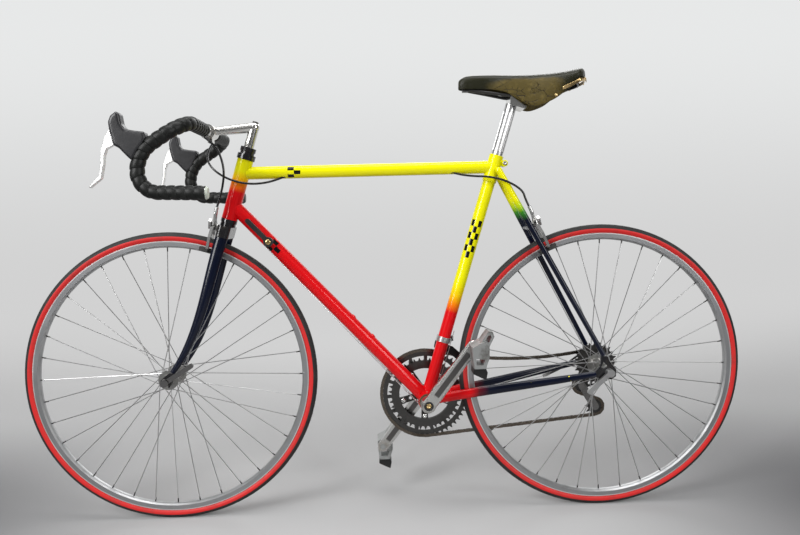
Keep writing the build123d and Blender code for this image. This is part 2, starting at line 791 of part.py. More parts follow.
def crank_right():
    """Right crank with the five spider arms that carry the rings."""
    arm = crank_arm(crank_angle + 180, 1)
    low = chain_line - ring_spacing + tooth_width / 2 + running_fit
    high = chain_line - tooth_width / 2 - running_fit
    for angle in spider_angles():
        tip = heading(angle) * ring_bolt_circle
        root = heading(angle) * crank_boss_radius
        arm += strap([(root.X, root.Z), (tip.X, tip.Z)], spider_width, low, high)
    arm += disc(Vector(0, 0, 0), crank_boss_radius + 5, low, high)
    for angle in spider_angles():
        arm -= bolt_hole(Vector(0, 0, 0), angle, ring_bolt_circle, ring_bolt_radius, low - 1, high + 1)
        arm -= bolt_hole(Vector(0, 0, 0), angle, spare_bolt_circle, ring_bolt_radius, low - 1, high + 1)
    square = 2 * (taper_half + running_fit)
    return [arm - Rot(0, -crank_angle, 0) * Pos(0, chain_line, 0) * Box(square, 20, square)]


def bracket_axle():
    """Axle with square ends, and the bolt that holds each crank."""
    axle = disc(Vector(0, 0, 0), axle_radius, -taper_start, taper_start)
    end = taper_start + taper_length
    for side in (-1, 1):
        square = Box(2 * taper_half, taper_length, 2 * taper_half)
        middle = side * (taper_start + taper_length / 2)
        axle += Rot(0, -crank_angle, 0) * Pos(0, middle, 0) * square
        head = end + bolt_seat + running_fit
        axle += disc(Vector(0, 0, 0), taper_half - 0.4, *sorted([side * end, side * head]))
        axle += disc(Vector(0, 0, 0), bolt_head_radius, *sorted([side * head, side * (head + 5)]))
    return [axle]


# ---------------------------------------------------------------- pedals
def pedal(eye, side):
    """Clipless pedal hanging from its axle: open loop above, hook below."""
    def at(points):
        return [(eye.X + x, eye.Z + z) for x, z in points]
    y0, y1 = sorted([side * pedal_inner, side * pedal_outer])
    block = slab(at(pedal_block), y0, y1)
    inset = (pedal_outer - pedal_inner - pedal_loop_width) / 2
    loop = slab(at(pedal_loop), y0 + inset, y1 - inset) - slab(at(pedal_loop_hole), y0, y1)
    hook = slab(at(pedal_hook), y0 + inset, y1 - inset)
    body = block + loop + hook - slab(at(pedal_window), y0, y1)
    a0, a1 = sorted([side * (crank_inner_face + 1), side * (pedal_inner + 10)])
    return [body + disc(eye, pedal_axle_radius, a0, a1)]


def pedal_left():
    return pedal(heading(crank_angle) * crank_length, -1)


def pedal_right():
    return pedal(heading(crank_angle + 180) * crank_length, 1)


# ---------------------------------------------------------------- derailleurs
def front_derailleur():
    """Band round the seat tube, its arm, and the cage over the outer ring."""
    middle = seat_up * 146
    band = pipe(middle - seat_up * 6, middle + seat_up * 6, seat_tube_radius + 3.0,
                seat_tube_radius + fit)
    band += Pos(*(middle + Vector(17, 9, 0))) * Box(12, 14, 11)
    tip = pitch_radius(outer_teeth) + tooth_height
    cage_low = tip + 5.2
    cage = sector(cage_low, cage_low + 17, 40, 78, chain_line - 6.2, chain_line - 5.0)
    cage += sector(cage_low, cage_low + 17, 38, 78, chain_line + 4.8, chain_line + 6.0)
    cage += sector(cage_low + 15, cage_low + 17, 66, 78, chain_line - 6.2, chain_line + 6.0)
    cage += disc(heading(42) * (cage_low + 3), 1.8, chain_line - 5.5, chain_line + 5.0)
    arm = middle + Vector(20, 12, -2)
    link = rod(arm, heading(72) * (cage_low + 17) + across * (chain_line - 5.6), 4)
    tube = rod(Vector(0, 0, 0), seat_tube_top, seat_tube_radius + fit)
    return [band + cage + link - tube]


def rear_derailleur():
    """Upper knuckle on the hanger, two links and the lower knuckle."""
    hang = rear_axle + Vector(9, 0, -28)
    pivot = Vector((jockey_upper[0] + 6), 0, jockey_upper[1] - 6)
    outer = rear_spacing / 2 + dropout_thickness
    upper = disc(hang, 9, outer + 0.1, outer + 14)
    lower = disc(pivot, 9, chain_line + 7.5, outer + 9)
    near = strap([(hang.X, hang.Z), (pivot.X, pivot.Z)], 11, outer + 2, outer + 8)
    loop_end = Vector(*housing_loop_points[-1])
    barrel = rod(Vector(pivot.X, loop_end.Y, loop_end.Z), loop_end - Vector(fit, 0, 0), 3.5)
    return [upper + lower + near + barrel]


def derailleur_cage():
    """Two plates either side of the jockey wheels, with their pins."""
    high, low = jockey_upper, jockey_lower
    outer = strap([high, low], 18, chain_line + cage_gap, chain_line + cage_gap + cage_plate)
    inner = strap([high, low], 18, chain_line - cage_gap - cage_plate, chain_line - cage_gap)
    cage = outer + inner
    for x, z in (high, low):
        cage += disc(Vector(x, 0, z), 2.5, chain_line - cage_gap, chain_line + cage_gap)
    pivot = Vector((jockey_upper[0] + 6), 0, jockey_upper[1] - 6)
    cage += disc(pivot, 4, chain_line + cage_gap, chain_line + 7.5 - fit)
    return [cage]


def jockey_wheels():
    made = []
    for x, z in (jockey_upper, jockey_lower):
        centre = Vector(x, 0, z)
        phase = phase_of(nearest_pin(centre, jockey_teeth), centre)
        made.append(sprocket(centre, jockey_teeth, chain_line, 2.5 + running_fit, phase))
    return made


def shift_levers():
    centre = down_tube_line(shifter_boss_reach)
    face = down_tube_radius + shifter_boss_length + fit
    made = []
    for side, swing in ((-1, 0), (1, -6)):
        course = math.degrees(math.atan2(down_tube_axis.Z, down_tube_axis.X)) + swing
        tip = centre + heading(course) * 66
        waist = centre + heading(course) * 8
        y0, y1 = sorted([side * face, side * (face + 6)])
        lever = disc(centre, lever_drum_radius, *sorted([side * face, side * (face + 9)]))
        lever += strap([(waist.X, waist.Z), (tip.X, tip.Z)], 11, y0, y1)
        made.append(lever)
    return made


# ---------------------------------------------------------------- fork and steering
def fork_point(drop, rake, y):
    """Point below the crown race along the axis, moved forward, at a width."""
    return crown_race - steer_up * drop + steer_forward * rake + across * y


def blade_centre(drop):
    """Blade centre line: straight from the crown, then curving forward to the axle."""
    bend_start = 230.0
    bend = max(0.0, (drop - bend_start) / (fork_length - bend_start))
    share = (drop - crown_depth) / (fork_length - crown_depth)
    width = front_spacing / 2 + fork_end_thickness / 2
    y = blade_top_offset + (width - blade_top_offset) * share
    return fork_point(drop, fork_rake * bend**1.7, y)


def fork_blades():
    """Oval blades, narrowing and curving forward to the tips."""
    sections = []
    for drop, width, depth in ((20, 8.5, 14.0), (120, 8.5, 13.0), (220, 8.0, 10.5),
                               (300, 7.0, 8.0), (fork_length - fork_end_length, 6.0, 6.0)):
        course = (blade_centre(drop - 2) - blade_centre(drop + 2)).normalized()
        sections.append((blade_centre(drop), course, width, depth))
    blade = stay_loft(sections)
    return both_sides(blade)


def fork_crown():
    """Crown with the steerer tube above it and the brake bolt's hole."""
    top = crown_race - steer_up * 4
    crown = rod(top, crown_race, 17.5)
    plane = Plane(origin=crown_race - steer_up * crown_depth, x_dir=across, z_dir=steer_up)
    bar = plane * RectangleRounded(2 * blade_top_offset + 21, 30, 10)
    crown += extrude(bar, amount=crown_depth - 4)
    for blade in fork_blades():
        crown -= blade
    crown += rod(crown_race, head_high + steer_up * 24, steerer_radius)
    crown -= rod(head_high - steer_up * 60, head_high + steer_up * 40, quill_radius + fit)
    centre = crown_race - steer_up * 13
    crown -= rod(centre - steer_forward * 30, centre + steer_forward * 30, brake_bolt_bore)
    return [crown]


def fork_end(side):
    """Plate at the blade tip with the axle slot open downwards."""
    tip = blade_centre(fork_length - fork_end_length)
    x, z = front_axle.X, front_axle.Z
    outline = [(tip.X - 7, tip.Z - fit), (tip.X + 7, tip.Z - fit - 2), (x + 12, z + 4), (x + 12, z - 6),
               (x + 8, z - 13), (x - 8, z - 13), (x - 12, z - 6), (x - 12, z + 4)]
    y0, y1 = sorted([side * front_spacing / 2, side * (front_spacing / 2 + fork_end_thickness)])
    plate = slab(outline, y0, y1)
    plate -= strap([(x, z), (x, z - 30)], 2 * (front_axle_radius + fit), y0 - 1, y1 + 1)
    blade = fork_blades()[0 if side > 0 else 1]
    return plate - blade


def fork_ends():
    return [fork_end(-1), fork_end(1)]


def headset_top():
    """Crown race below, adjusting race and locknut above."""
    bore = steerer_radius + fit
    low = crown_race + steer_up * 0
    race = pipe(low, low + steer_up * 3.7, 17.0, bore)
    start = head_high + steer_up * (7 + bearing_gap)
    nut = pipe(start, start + steer_up * 5, 20.5, bore)
    nut += pipe(start + steer_up * 5, start + steer_up * 11, 16.0, bore)
    nut += pipe(start + steer_up * 11, head_high + steer_up * 28, 17.5, bore)
    return [race, nut]


stem_joint = Vector(-382, 0, 634)


def stem():
    """Quill, extension and the clamp round the bar."""
    foot = head_high - steer_up * 45
    along = (stem_joint - head_high).dot(steer_up)
    elbow = head_high + steer_up * along
    body = rod(foot, elbow + steer_up * 5, quill_radius)
    front = clamp_centre + Vector(8, 0, 2)
    body += rod(elbow, front, 11.8, 9.2)
    body += Pos(*elbow) * Sphere(11.9)
    body += disc(clamp_centre, bar_sleeve_radius + 4, -19, 19)
    body += Pos(*(clamp_centre + Vector(4, 0, -18))) * Box(10, 22, 12)
    body -= disc(clamp_centre, bar_sleeve_radius + fit, -60, 60)
    return [body]


bar_points = [Vector(-447, 200, 481), Vector(-580, 200, 484.5), Vector(-580, 200, 561),
              Vector(-483, 200, 624)]
bar_radii = [40, 68, 55]


def half_bar(start_y, side, end_trim=0.0):
    """Bar centre line on one side, from a distance out to the end of the drop."""
    half = bar_width / 2
    points = [Vector(clamp_centre.X, side * start_y, clamp_centre.Z)]
    points += [Vector(p.X, side * half, p.Z) for p in reversed(bar_points)]
    points[-1] = points[-1] - Vector(end_trim, 0, 0)
    return points


def handlebar():
    left = half_bar(0, -1)[1:]
    right = half_bar(0, 1)[1:]
    bar = swept(list(reversed(left)) + right, bar_radii + bar_radii[::-1], bar_radius)
    half = bar_sleeve_length / 2
    return [bar + disc(clamp_centre, bar_sleeve_radius, -half, half)]


def bar_tape():
    made = []
    for side in (-1, 1):
        points = half_bar(tape_start, side, tape_end_gap)
        made.append(swept(points, bar_radii[::-1], tape_radius, bar_radius + fit))
    return made


def bar_end_plugs():
    made = []
    for side in (-1, 1):
        end = half_bar(0, side)[-1]
        course = Vector(1, 0, (481 - 484.5) / 133).normalized()
        made.append(rod(end + course * fit, end + course * 4, 13.5, 11))
    return made


def brake_hoods():
    """Rubber-covered lever bodies on the hooks of the bar."""
    outline = [(-556, 590), (-560, 602), (-580, 604.5), (-596, 607.5), (-603, 617), (-606, 637),
               (-613, 642), (-624, 634), (-629, 622), (-628, 611), (-620, 576), (-610, 570.5),
               (-597, 556), (-586, 545), (-570, 560)]
    made = []
    for side in (-1, 1):
        y = side * bar_width / 2
        body = slab(outline, y - hood_width / 2, y + hood_width / 2)
        rims = body.faces().sort_by(Axis.Y)
        body = chamfer(rims[0].edges() + rims[-1].edges(), hood_edge)
        body -= swept(half_bar(tape_start, side), bar_radii[::-1], tape_radius + fit)
        made.append(body)
    return made


def brake_levers():
    """Lever blades in front of the hoods, wide at the pivot and narrow at the tip."""
    outline = [(-628.6, 610), (-638.5, 593), (-647, 566.5), (-648.6, 539.5), (-652.5, 519),
               (-673, 497), (-671.5, 494.5), (-649, 512), (-643, 539), (-641, 557),
               (-636, 570), (-620.9, 578)]
    made = []
    for side in (-1, 1):
        y = side * bar_width / 2
        blade = slab(outline, y - lever_width / 2, y + lever_width / 2)
        rims = blade.faces().sort_by(Axis.Y)
        made.append(chamfer(rims[0].edges() + rims[-1].edges(), lever_edge))
    return made


# ---------------------------------------------------------------- brakes
def caliper(pivot, up, outward, reach, top_side):
    """Side-pull caliper: centre bolt and two arms; up points away from the axle."""
    def at(width, height, depth):
        return pivot + across * width + up * height + outward * depth

    def arm(points, width, depth, thick):
        plane = Plane(origin=at(0, 0, depth), x_dir=across, z_dir=outward)
        turn = 1 if plane.y_dir.dot(up) > 0 else -1
        line = Polyline(*[(y, z * turn) for y, z in points])
        return extrude(plane * trace(line, width), amount=thick)

    s = top_side
    first = arm([(0, 0), (s * 30, -4), (s * 34, -22), (s * 24, -reach + 6)], 9, 8, 6)
    first += arm([(0, 0), (s * 22, 14), (s * 37, 38)], 9, 8, 6)
    second = arm([(0, 0), (-s * 30, -4), (-s * 34, -22), (-s * 24, -reach + 6)], 9, 14.1, 6)
    second += arm([(0, 0), (s * 24, -2), (s * 40, 14)], 9, 14.1, 6)
    return first, second, at


def brake_body(pivot, up, outward, reach, top_side, bolt_back):
    first, second, at = caliper(pivot, up, outward, reach, top_side)
    bolt = rod(at(0, 0, -bolt_back), at(0, 0, 26), 3.0)
    bolt += rod(at(0, 0, 20.1), at(0, 0, 25), 8)
    body = first + second + bolt
    body += rod(at(0, 0, 0.2), at(0, 0, 8), 8)
    barrel = rod(at(top_side * 37, 30, 11), at(top_side * 37, 46, 11), 4)
    return [body + barrel]


def brake_pads(pivot, up, outward, reach, top_side):
    made = []
    for side, depth in ((top_side, 11), (-top_side, 17)):
        centre = pivot + across * (side * (rim_width / 2 + pad_gap + pad_thickness / 2)) - up * (reach - 1) + outward * 8
        plane = Plane(origin=centre, x_dir=outward, z_dir=across)
        shoe = plane * Box(pad_length, pad_height, pad_thickness)
        stud_start = centre
        stud_end = pivot + across * (side * 31) - up * (reach - 1) + outward * depth
        made.append(shoe + rod(Vector(stud_end.X, stud_start.Y, stud_end.Z), stud_end, 3))
    return made


front_brake_pivot = crown_race - steer_up * 13 + steer_forward * 15.2
front_reach = (front_brake_pivot - front_axle).length - 306.0
rear_brake_up = (bridge_centre - rear_axle).normalized()
rear_brake_out = Vector(rear_brake_up.Z, 0, -rear_brake_up.X)
rear_brake_pivot = bridge_centre + rear_brake_out * (bridge_radius + 0.2)
rear_reach = (bridge_centre - rear_axle).length - 306.0


def front_brake():
    return brake_body(front_brake_pivot, steer_up, steer_forward, front_reach, -1, 30)


def front_brake_pads():
    return brake_pads(front_brake_pivot, steer_up, steer_forward, front_reach, -1)


def rear_brake():
    return brake_body(rear_brake_pivot, rear_brake_up, rear_brake_out, rear_reach, -1, 12)


def rear_brake_pads():
    return brake_pads(rear_brake_pivot, rear_brake_up, rear_brake_out, rear_reach, -1)


# ---------------------------------------------------------------- seat
def seatpost():
    """Post with long flutes above the seat tube and a rounded head."""
    post = rod(seat_up * 420, seat_up * seatpost_top, seatpost_radius)
    low, high = seat_tube_length + seat_tube_collar + 10, seatpost_top - 18
    for count in range(flute_count):
        turn = 360.0 / flute_count * (count + 0.5)
        out = heading(seat_angle + 90) * math.cos(math.radians(turn)) + across * math.sin(math.radians(turn))
        middle = out * (seatpost_radius + flute_radius - 1.1)
        post -= rod(middle + seat_up * low, middle + seat_up * high, flute_radius)
    return [post]


def saddle_clamp():
    """Cradle on the post's head, with its bolt across."""
    head = seat_up * seatpost_top
    cradle = [(head.X - 7, head.Z - 2), (head.X + 26, head.Z - 12), (head.X + 42, head.Z + 4),
              (head.X + 36, head.Z + 23), (head.X - 3, head.Z + 21), (head.X - 7, head.Z + 14)]
    body = slab(cradle, -26, 26)
    body -= rod(Vector(0, 0, 0), seat_up * (seatpost_top + 0.1), seatpost_radius + fit)
    for rail in saddle_rail_solids(rail_radius + fit):
        body -= rail
    return [body]


rail_path = [(106, 6, 710), (150, 14, 703), (196, rail_offset, 695), (268, rail_offset, 697),
             (312, 30, 712), (340, 44, 720)]


def saddle_rail_solids(radius):
    points = [Vector(x, y, z) for x, y, z in rail_path]
    bend_radii = [60, 60, 60, 40]
    rail = swept(points, bend_radii, radius)
    return both_sides(rail)


def saddle_rails():
    return saddle_rail_solids(rail_radius)


saddle_sections = [           # x, top, half width, side height, skirt
    (85, 735, 12, 725, 712), (104, 743, 16, 732, 711), (150, 744.5, 18, 733, 710),
    (185, 743, 30, 730, 702), (215, 742, 38, 727, 684), (246, 742, 45, 724, 667),
    (285, 743, 62, 724, 679), (318, 746, 73, 728, 702), (345, 750.5, 78, 733, 721),
    (360, 752.5, 77, 735, 727), (370, 744, 72, 735, 731),
]
def saddle_face(x, top, half, shoulder, skirt, inset=0.0):
    """Cross-section of the leather: flat skirts and a domed top."""
    half, top, shoulder = half - inset, top - inset, shoulder - inset
    low = skirt - inset
    side = Line((x, -half * 0.92, low), (x, -half, shoulder))
    dome = ThreePointArc((x, -half, shoulder), (x, 0, top), (x, half, shoulder))
    other = Line((x, half, shoulder), (x, half * 0.92, low))
    floor = Line((x, half * 0.92, low), (x, -half * 0.92, low))
    return make_face([side, dome, other, floor])


def saddle_leather():
    """Leather top, open underneath."""
    outside = loft([saddle_face(*row) for row in saddle_sections], ruled=True)
    rows = [list(row) for row in saddle_sections[:-1]]
    rows[0][0] += saddle_nose_wall
    hollow = loft([saddle_face(*row, inset=leather) for row in rows], ruled=True)
    return [outside - hollow]


def saddle_frame():
    """Rear cantle plate under the leather, and the nose piece."""
    arc = ThreePointArc((330, -60), (356, 0), (330, 60))
    plate = extrude(Pos(0, 0, 715) * trace(arc, 3), amount=cantle_height)
    nose = Pos(99, 0, 716) * Box(13.4, 15, 18)
    pieces = [plate, nose]
    for rail in saddle_rail_solids(rail_radius + fit):
        pieces = [piece - rail for piece in pieces]
    return pieces


# ---------------------------------------------------------------- cables
def cable(points, shares=0.45):
    """Housing through a list of points, each corner as round as its runs allow."""
    corners = [Vector(*p) for p in points]
    radii = []
    for before, here, after in zip(corners, corners[1:], corners[2:]):
        turn = math.radians((here - before).get_angle(after - here))
        shorter = min((here - before).length, (after - here).length)
        radii.append(shares * shorter / math.tan(turn / 2))
    print("cable radii", [round(r) for r in radii])
    return swept(corners, radii, cable_radius)


def barrel_top(pivot, up, outward, above=0.0):
    """Where a housing ends on a caliper's barrel adjuster, or a point above it."""
    point = pivot - across * 37 + up * (46.3 + above) + outward * 11
    return point.X, point.Y, point.Z


front_cable_points = [(-483, -49.3, 608.8), (-470, -43, 598), (-455, -41, 582), (-443, -42, 540),
                      (-448, -39, 502), barrel_top(front_brake_pivot, steer_up, steer_forward, 20),
                      barrel_top(front_brake_pivot, steer_up, steer_forward)]
rear_cable_front_points = [(-484, 49.3, 608.8), (-487, 36, 600), (-489, 8, 580), (-486, -14, 558),
                           (-468, -26, 536), (-440, -29, 518), (-405, -27, 507), (-370, -20, 506),
                           (-334, -11, 514), (-312, -6, 524)]
rear_cable_rear_points = [(52, -3, 531), (76, -9, 522), (110, -20, 516), (148, -31, 514),
                          (186, -37, 504), (222, -38, 482),
                          barrel_top(rear_brake_pivot, rear_brake_up, rear_brake_out, 16),
                          barrel_top(rear_brake_pivot, rear_brake_up, rear_brake_out)]


housing_loop_points = [(306, 57, 37), (340, 70, 46), (375, 80, 70), (413, 85, 92), (440, 83, 88),
                       (457, 80, 66), (459, 79, 39), (450, 78, 14), (432, 77, 2), (410, 76, 2)]
cable_guide = Vector(-2, 0, -21.6)


def shift_cables():
    """Bare wires below the down tube, the guide, and the loop to the rear derailleur."""
    guide = Pos(*cable_guide) * Box(22, 26, 3)
    drum = down_tube_line(shifter_boss_reach) - down_tube_up * (lever_drum_radius + wire_radius + fit)
    pieces = []
    for side in (-1, 1):
        start = drum + across * (side * (down_tube_radius + shifter_boss_length + 3))
        end = cable_guide + Vector(-8, side * 6, 0)
        pieces.append(rod(end, start, wire_radius))
    loop_start = Vector(*housing_loop_points[0])
    stop = rod(loop_start - Vector(16, 6.4, 3.6), loop_start - Vector(fit, 0, 0), 3.5)
    rear_wire = rod(cable_guide + Vector(8, 8, 0), loop_start - Vector(14, 5.6, 3.1), wire_radius)
    joined = guide + pieces[0] + pieces[1] + rear_wire + stop
    front_wire = rod(Vector(20.65, 0.9, 3.6), Vector(67.5, 0.9, 158), wire_radius)
    return [joined, front_wire, cable(housing_loop_points)]


def front_brake_cable():
    return [cable(front_cable_points)]


def rear_brake_cable_front():
    return [cable(rear_cable_front_points)]


def rear_brake_cable_rear():
    return [cable(rear_cable_rear_points)]


nodes = {
    "head_tube": head_tube, "top_tube": top_tube, "down_tube": down_tube,
    "seat_tube": seat_tube, "seat_lug": seat_lug, "bottom_bracket_shell": bracket_shell,
    "bottom_bracket_cups": bracket_cups, "chain_stays": chain_stays, "seat_stays": seat_stays,
    "rear_dropouts": rear_dropouts, "headset_cups": headset_cups,
    "front_tyre": lambda: tyre(front_axle), "front_rim": lambda: rim(front_axle),
    "front_spokes": lambda: spokes(front_axle, front_flange, front_flange),
    "front_hub": lambda: hub(front_axle, front_axle_radius, front_flange, front_flange,
                             front_hub_end, front_hub_end, hub_barrel_radius),
    "rear_tyre": lambda: tyre(rear_axle), "rear_rim": lambda: rim(rear_axle),
    "rear_spokes": lambda: spokes(rear_axle, rear_flange_left, rear_flange_right),
    "rear_hub": lambda: hub(rear_axle, rear_axle_radius, rear_flange_left, rear_flange_right,
                            rear_hub_end_left, rear_hub_end_right, freewheel_bore - running_fit),
    "front_axle": front_axle_set, "rear_axle": rear_axle_set,
    "chain": chain, "freewheel": freewheel, "outer_chainring": outer_chainring,
    "inner_chainring": inner_chainring, "crank_left": crank_left, "crank_right": crank_right,
    "bottom_bracket_axle": bracket_axle, "pedal_left": pedal_left, "pedal_right": pedal_right,
    "front_derailleur": front_derailleur, "rear_derailleur": rear_derailleur,
    "derailleur_cage": derailleur_cage, "jockey_wheels": jockey_wheels,
    "shift_levers": shift_levers, "fork_blades": fork_blades, "fork_crown": fork_crown,
    "fork_ends": fork_ends, "headset_top": headset_top, "stem": stem, "handlebar": handlebar,
    "bar_tape": bar_tape, "bar_end_plugs": bar_end_plugs, "brake_hoods": brake_hoods,
    "brake_levers": brake_levers, "front_brake": front_brake,
    "front_brake_pads": front_brake_pads, "rear_brake": rear_brake,
    "rear_brake_pads": rear_brake_pads, "seatpost": seatpost, "saddle_clamp": saddle_clamp,
    "saddle_rails": saddle_rails, "saddle_leather": saddle_leather,
    "saddle_frame": saddle_frame, "front_brake_cable": front_brake_cable,
    "rear_brake_cable_front": rear_brake_cable_front,
    "rear_brake_cable_rear": rear_brake_cable_rear, "shift_cables": shift_cables,
}

os.makedirs("parts", exist_ok=True)
print("chain links", len(pins), "sag", round(chain_sag, 1))
for name, build in nodes.items():
    pieces = [Pos(*(rider_point * -1)) * solid for solid in solids_of(build())]
    export_step(Compound(pieces), f"parts/{name}.step")
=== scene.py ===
# %% [markdown]
# # A road bicycle with drop bars
# The bicycle's solids come packed as one fixed frame: tubes, wheels, cranks and
# brakes, each in its place. What this script adds is what a drawing in solids
# leaves out: paint, polish, rubber and leather, and the soft things that are
# wound, stretched or bent, such as the bar tape, the saddle and the cables.

# %% Load the packed bicycle
import math

import bmesh
import bpy
from mathutils import Matrix, Vector


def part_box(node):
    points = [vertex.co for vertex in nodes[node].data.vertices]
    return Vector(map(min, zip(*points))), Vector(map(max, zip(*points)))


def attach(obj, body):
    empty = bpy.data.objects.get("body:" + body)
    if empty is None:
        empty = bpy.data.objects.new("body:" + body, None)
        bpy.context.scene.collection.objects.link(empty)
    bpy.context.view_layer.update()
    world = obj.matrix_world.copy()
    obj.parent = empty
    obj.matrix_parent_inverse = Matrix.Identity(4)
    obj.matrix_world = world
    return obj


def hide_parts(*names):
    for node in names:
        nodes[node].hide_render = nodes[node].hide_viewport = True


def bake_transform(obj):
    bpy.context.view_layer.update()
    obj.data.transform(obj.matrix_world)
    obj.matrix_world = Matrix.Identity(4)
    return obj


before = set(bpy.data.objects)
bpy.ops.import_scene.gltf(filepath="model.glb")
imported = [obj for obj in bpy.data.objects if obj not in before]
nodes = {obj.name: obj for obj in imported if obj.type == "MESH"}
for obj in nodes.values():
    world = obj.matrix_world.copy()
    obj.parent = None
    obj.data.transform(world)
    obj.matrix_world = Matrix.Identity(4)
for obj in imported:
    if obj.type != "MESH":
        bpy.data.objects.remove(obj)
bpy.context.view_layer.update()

# %% [markdown]
# The solids were drawn in millimetres about the bottom bracket, the axle that
# the cranks turn on, and packed in metres about the rider's seat. One helper
# turns the first into the second, so every size below can be read off the bike.

# %% Places on the bicycle
MM = 0.001
BRACKET = Vector((-0.247, 0.0, -0.742))


def spot(x, y, z):
    """A place given in millimetres from the bottom bracket."""
    return BRACKET + Vector((x, y, z)) * MM


REAR_AXLE = spot(410.57, 0, 67)
FRONT_AXLE = spot(-587.43, 0, 67)
STEER_UP = Vector((0.29237, 0, 0.95630))
HEAD_LOW = spot(-444.16, 0, 427.88)
SEAT_UP = Vector((0.28903, 0, 0.95732))
WHEEL_RADIUS = 334
GROUND = REAR_AXLE.z - WHEEL_RADIUS * MM
CRANK_DEGREES = 52.3  # of the left crank, up from the rearward axis
PEDAL_RISE = 134.51   # of its pedal above the bracket; the right one is as far below
print("ground at", round(GROUND, 4))

# %% [markdown]
# ## Camera
# A normal lens, a little wide, stands level with the top of the wheels and looks
# at the left side, turned, tipped and leant by one to four degrees. Matrices
# multiplied in order say this plainly: upright first, then lean, tip and pan.

# %% Stand the camera
EYE_PLACE = (-0.36324, -1.58644, -0.31134)
PAN, TIP, LEAN = (math.radians(angle) for angle in (-2.143, -4.366, 1.018))
LENS, SENSOR = 30.93, 36.0


def stand(name, data):
    """An object in the scene with this camera, mesh, curve or lamp."""
    made = bpy.data.objects.new(name, data)
    bpy.context.scene.collection.objects.link(made)
    return made


eye = stand("camera", bpy.data.cameras.new("camera"))
eye.data.lens = LENS
eye.data.sensor_width = SENSOR
eye.matrix_world = (
    Matrix.Translation(EYE_PLACE)
    @ Matrix.Rotation(PAN, 4, "Z")
    @ Matrix.Rotation(TIP, 4, "X")
    @ Matrix.Rotation(LEAN, 4, "Y")
    @ Matrix.Rotation(math.radians(90), 4, "X")
)
bpy.context.scene.camera = eye
bpy.context.scene.view_settings.view_transform = "Standard"
print("camera at", EYE_PLACE, "with a lens of", LENS, "mm")

# %% [markdown]
# ## Shader arithmetic
# A finish is a formula: how far along the tube, how near the edge, how much
# grain. Writing it as Python keeps it readable, so one small class wraps a
# node's output, and the usual operators on it add the Math nodes.


# %% A socket that does sums
class Socket:
    """One output in a node tree, with Python's operators."""

    def __init__(self, tree, link=None):
        self.tree = tree
        self.link = link

    def node(self, kind, settings=None, inputs=None, output=0):
        """Any node: its settings first, then the values or links of its sockets."""
        made = self.tree.nodes.new(kind)
        for name, value in (settings or {}).items():
            if name == "stops":
                ramp = made.color_ramp.elements
                ramp[0].position, ramp[0].color = value[0][0], (*value[0][1], 1)
                ramp[1].position, ramp[1].color = value[-1][0], (*value[-1][1], 1)
                for place, colour in value[1:-1]:
                    ramp.new(place).color = (*colour, 1)
            else:
                setattr(made, name, value)
        for name, value in (inputs or {}).items():
            if isinstance(value, Socket):
                self.tree.links.new(value.link, made.inputs[name])
            else:
                made.inputs[name].default_value = value
        return Socket(self.tree, made.outputs[output] if made.outputs else None)

    def also(self, output):
        """Another output of the same node."""
        return Socket(self.tree, self.link.node.outputs[output])

    def sum(self, operation, *values):
        """One Math node."""
        return self.node("ShaderNodeMath", {"operation": operation}, dict(enumerate(values)))

    def vector(self, operation, other):
        """One Vector Math node, of this and another vector."""
        return self.node("ShaderNodeVectorMath", {"operation": operation}, {0: self, 1: other})

    def size(self):
        """The number without its sign."""
        return self.sum("ABSOLUTE", self)

    def xyz(self):
        """The three numbers of a vector."""
        made = self.node("ShaderNodeSeparateXYZ", {}, {0: self})
        return made, made.also(1), made.also(2)

    def rise(self, low, high):
        """0 below low, 1 above high and a smooth step between."""
        settings = {"interpolation_type": "SMOOTHSTEP"}
        return self.node("ShaderNodeMapRange", settings, {0: self, 1: low, 2: high, 3: 0, 4: 1})

    def between(self, low, high, soft):
        """1 from low to high, with edges this soft."""
        return self.rise(low - soft, low + soft) * (1 - self.rise(high - soft, high + soft))

    def tint(self, first, second):
        """The first colour where this is 0 and the second where it is 1."""
        colours = [c if isinstance(c, Socket) else (*c, 1) for c in (first, second)]
        settings = {"data_type": "RGBA"}
        return self.node("ShaderNodeMix", settings, {0: self, 6: colours[0], 7: colours[1]}, 2)

    def grain(self, scale, detail):
        """Cloudy noise at this many cells to the metre."""
        inputs = {"Vector": self, "Scale": scale, "Detail": detail, "Roughness": 0.55}
        return self.node("ShaderNodeTexNoise", {}, inputs)

    def cells(self, scale):
        """Distance to the edges of a crazed pattern."""
        settings = {"feature": "DISTANCE_TO_EDGE"}
        inputs = {"Vector": self, "Scale": scale}
        return self.node("ShaderNodeTexVoronoi", settings, inputs, "Distance")

    def along(self, origin, direction):
        """How far a point lies along a line, in metres."""
        way = Vector(direction).normalized()
        return self.vector("DOT_PRODUCT", way).also("Value") - way.dot(Vector(origin))

    def stretched(self, scale):
        """The same places, stretched or squeezed along each axis."""
        return self.vector("MULTIPLY", scale)


# Python looks up a + b as __add__, and as __radd__ when only b is a Socket.
for name, operation in (("add", "ADD"), ("sub", "SUBTRACT"), ("mul", "MULTIPLY"),
                        ("truediv", "DIVIDE"), ("mod", "FLOORED_MODULO"),
                        ("gt", "GREATER_THAN"), ("lt", "LESS_THAN")):
    setattr(Socket, f"__{name}__", lambda a, b, kind=operation: a.sum(kind, a, b))
    setattr(Socket, f"__r{name}__", lambda b, a, kind=operation: b.sum(kind, a, b))
print("made with:", [name for name in vars(Socket) if not name.startswith("__")])

# %% [markdown]
# Each finish starts from the place of a point on the object and ends in one
# Principled shader. What varies over the surface goes to colour, roughness,
# metal or bump, and what is the same all over is set as a plain number.


# %% Start and close a material
finishes = {}


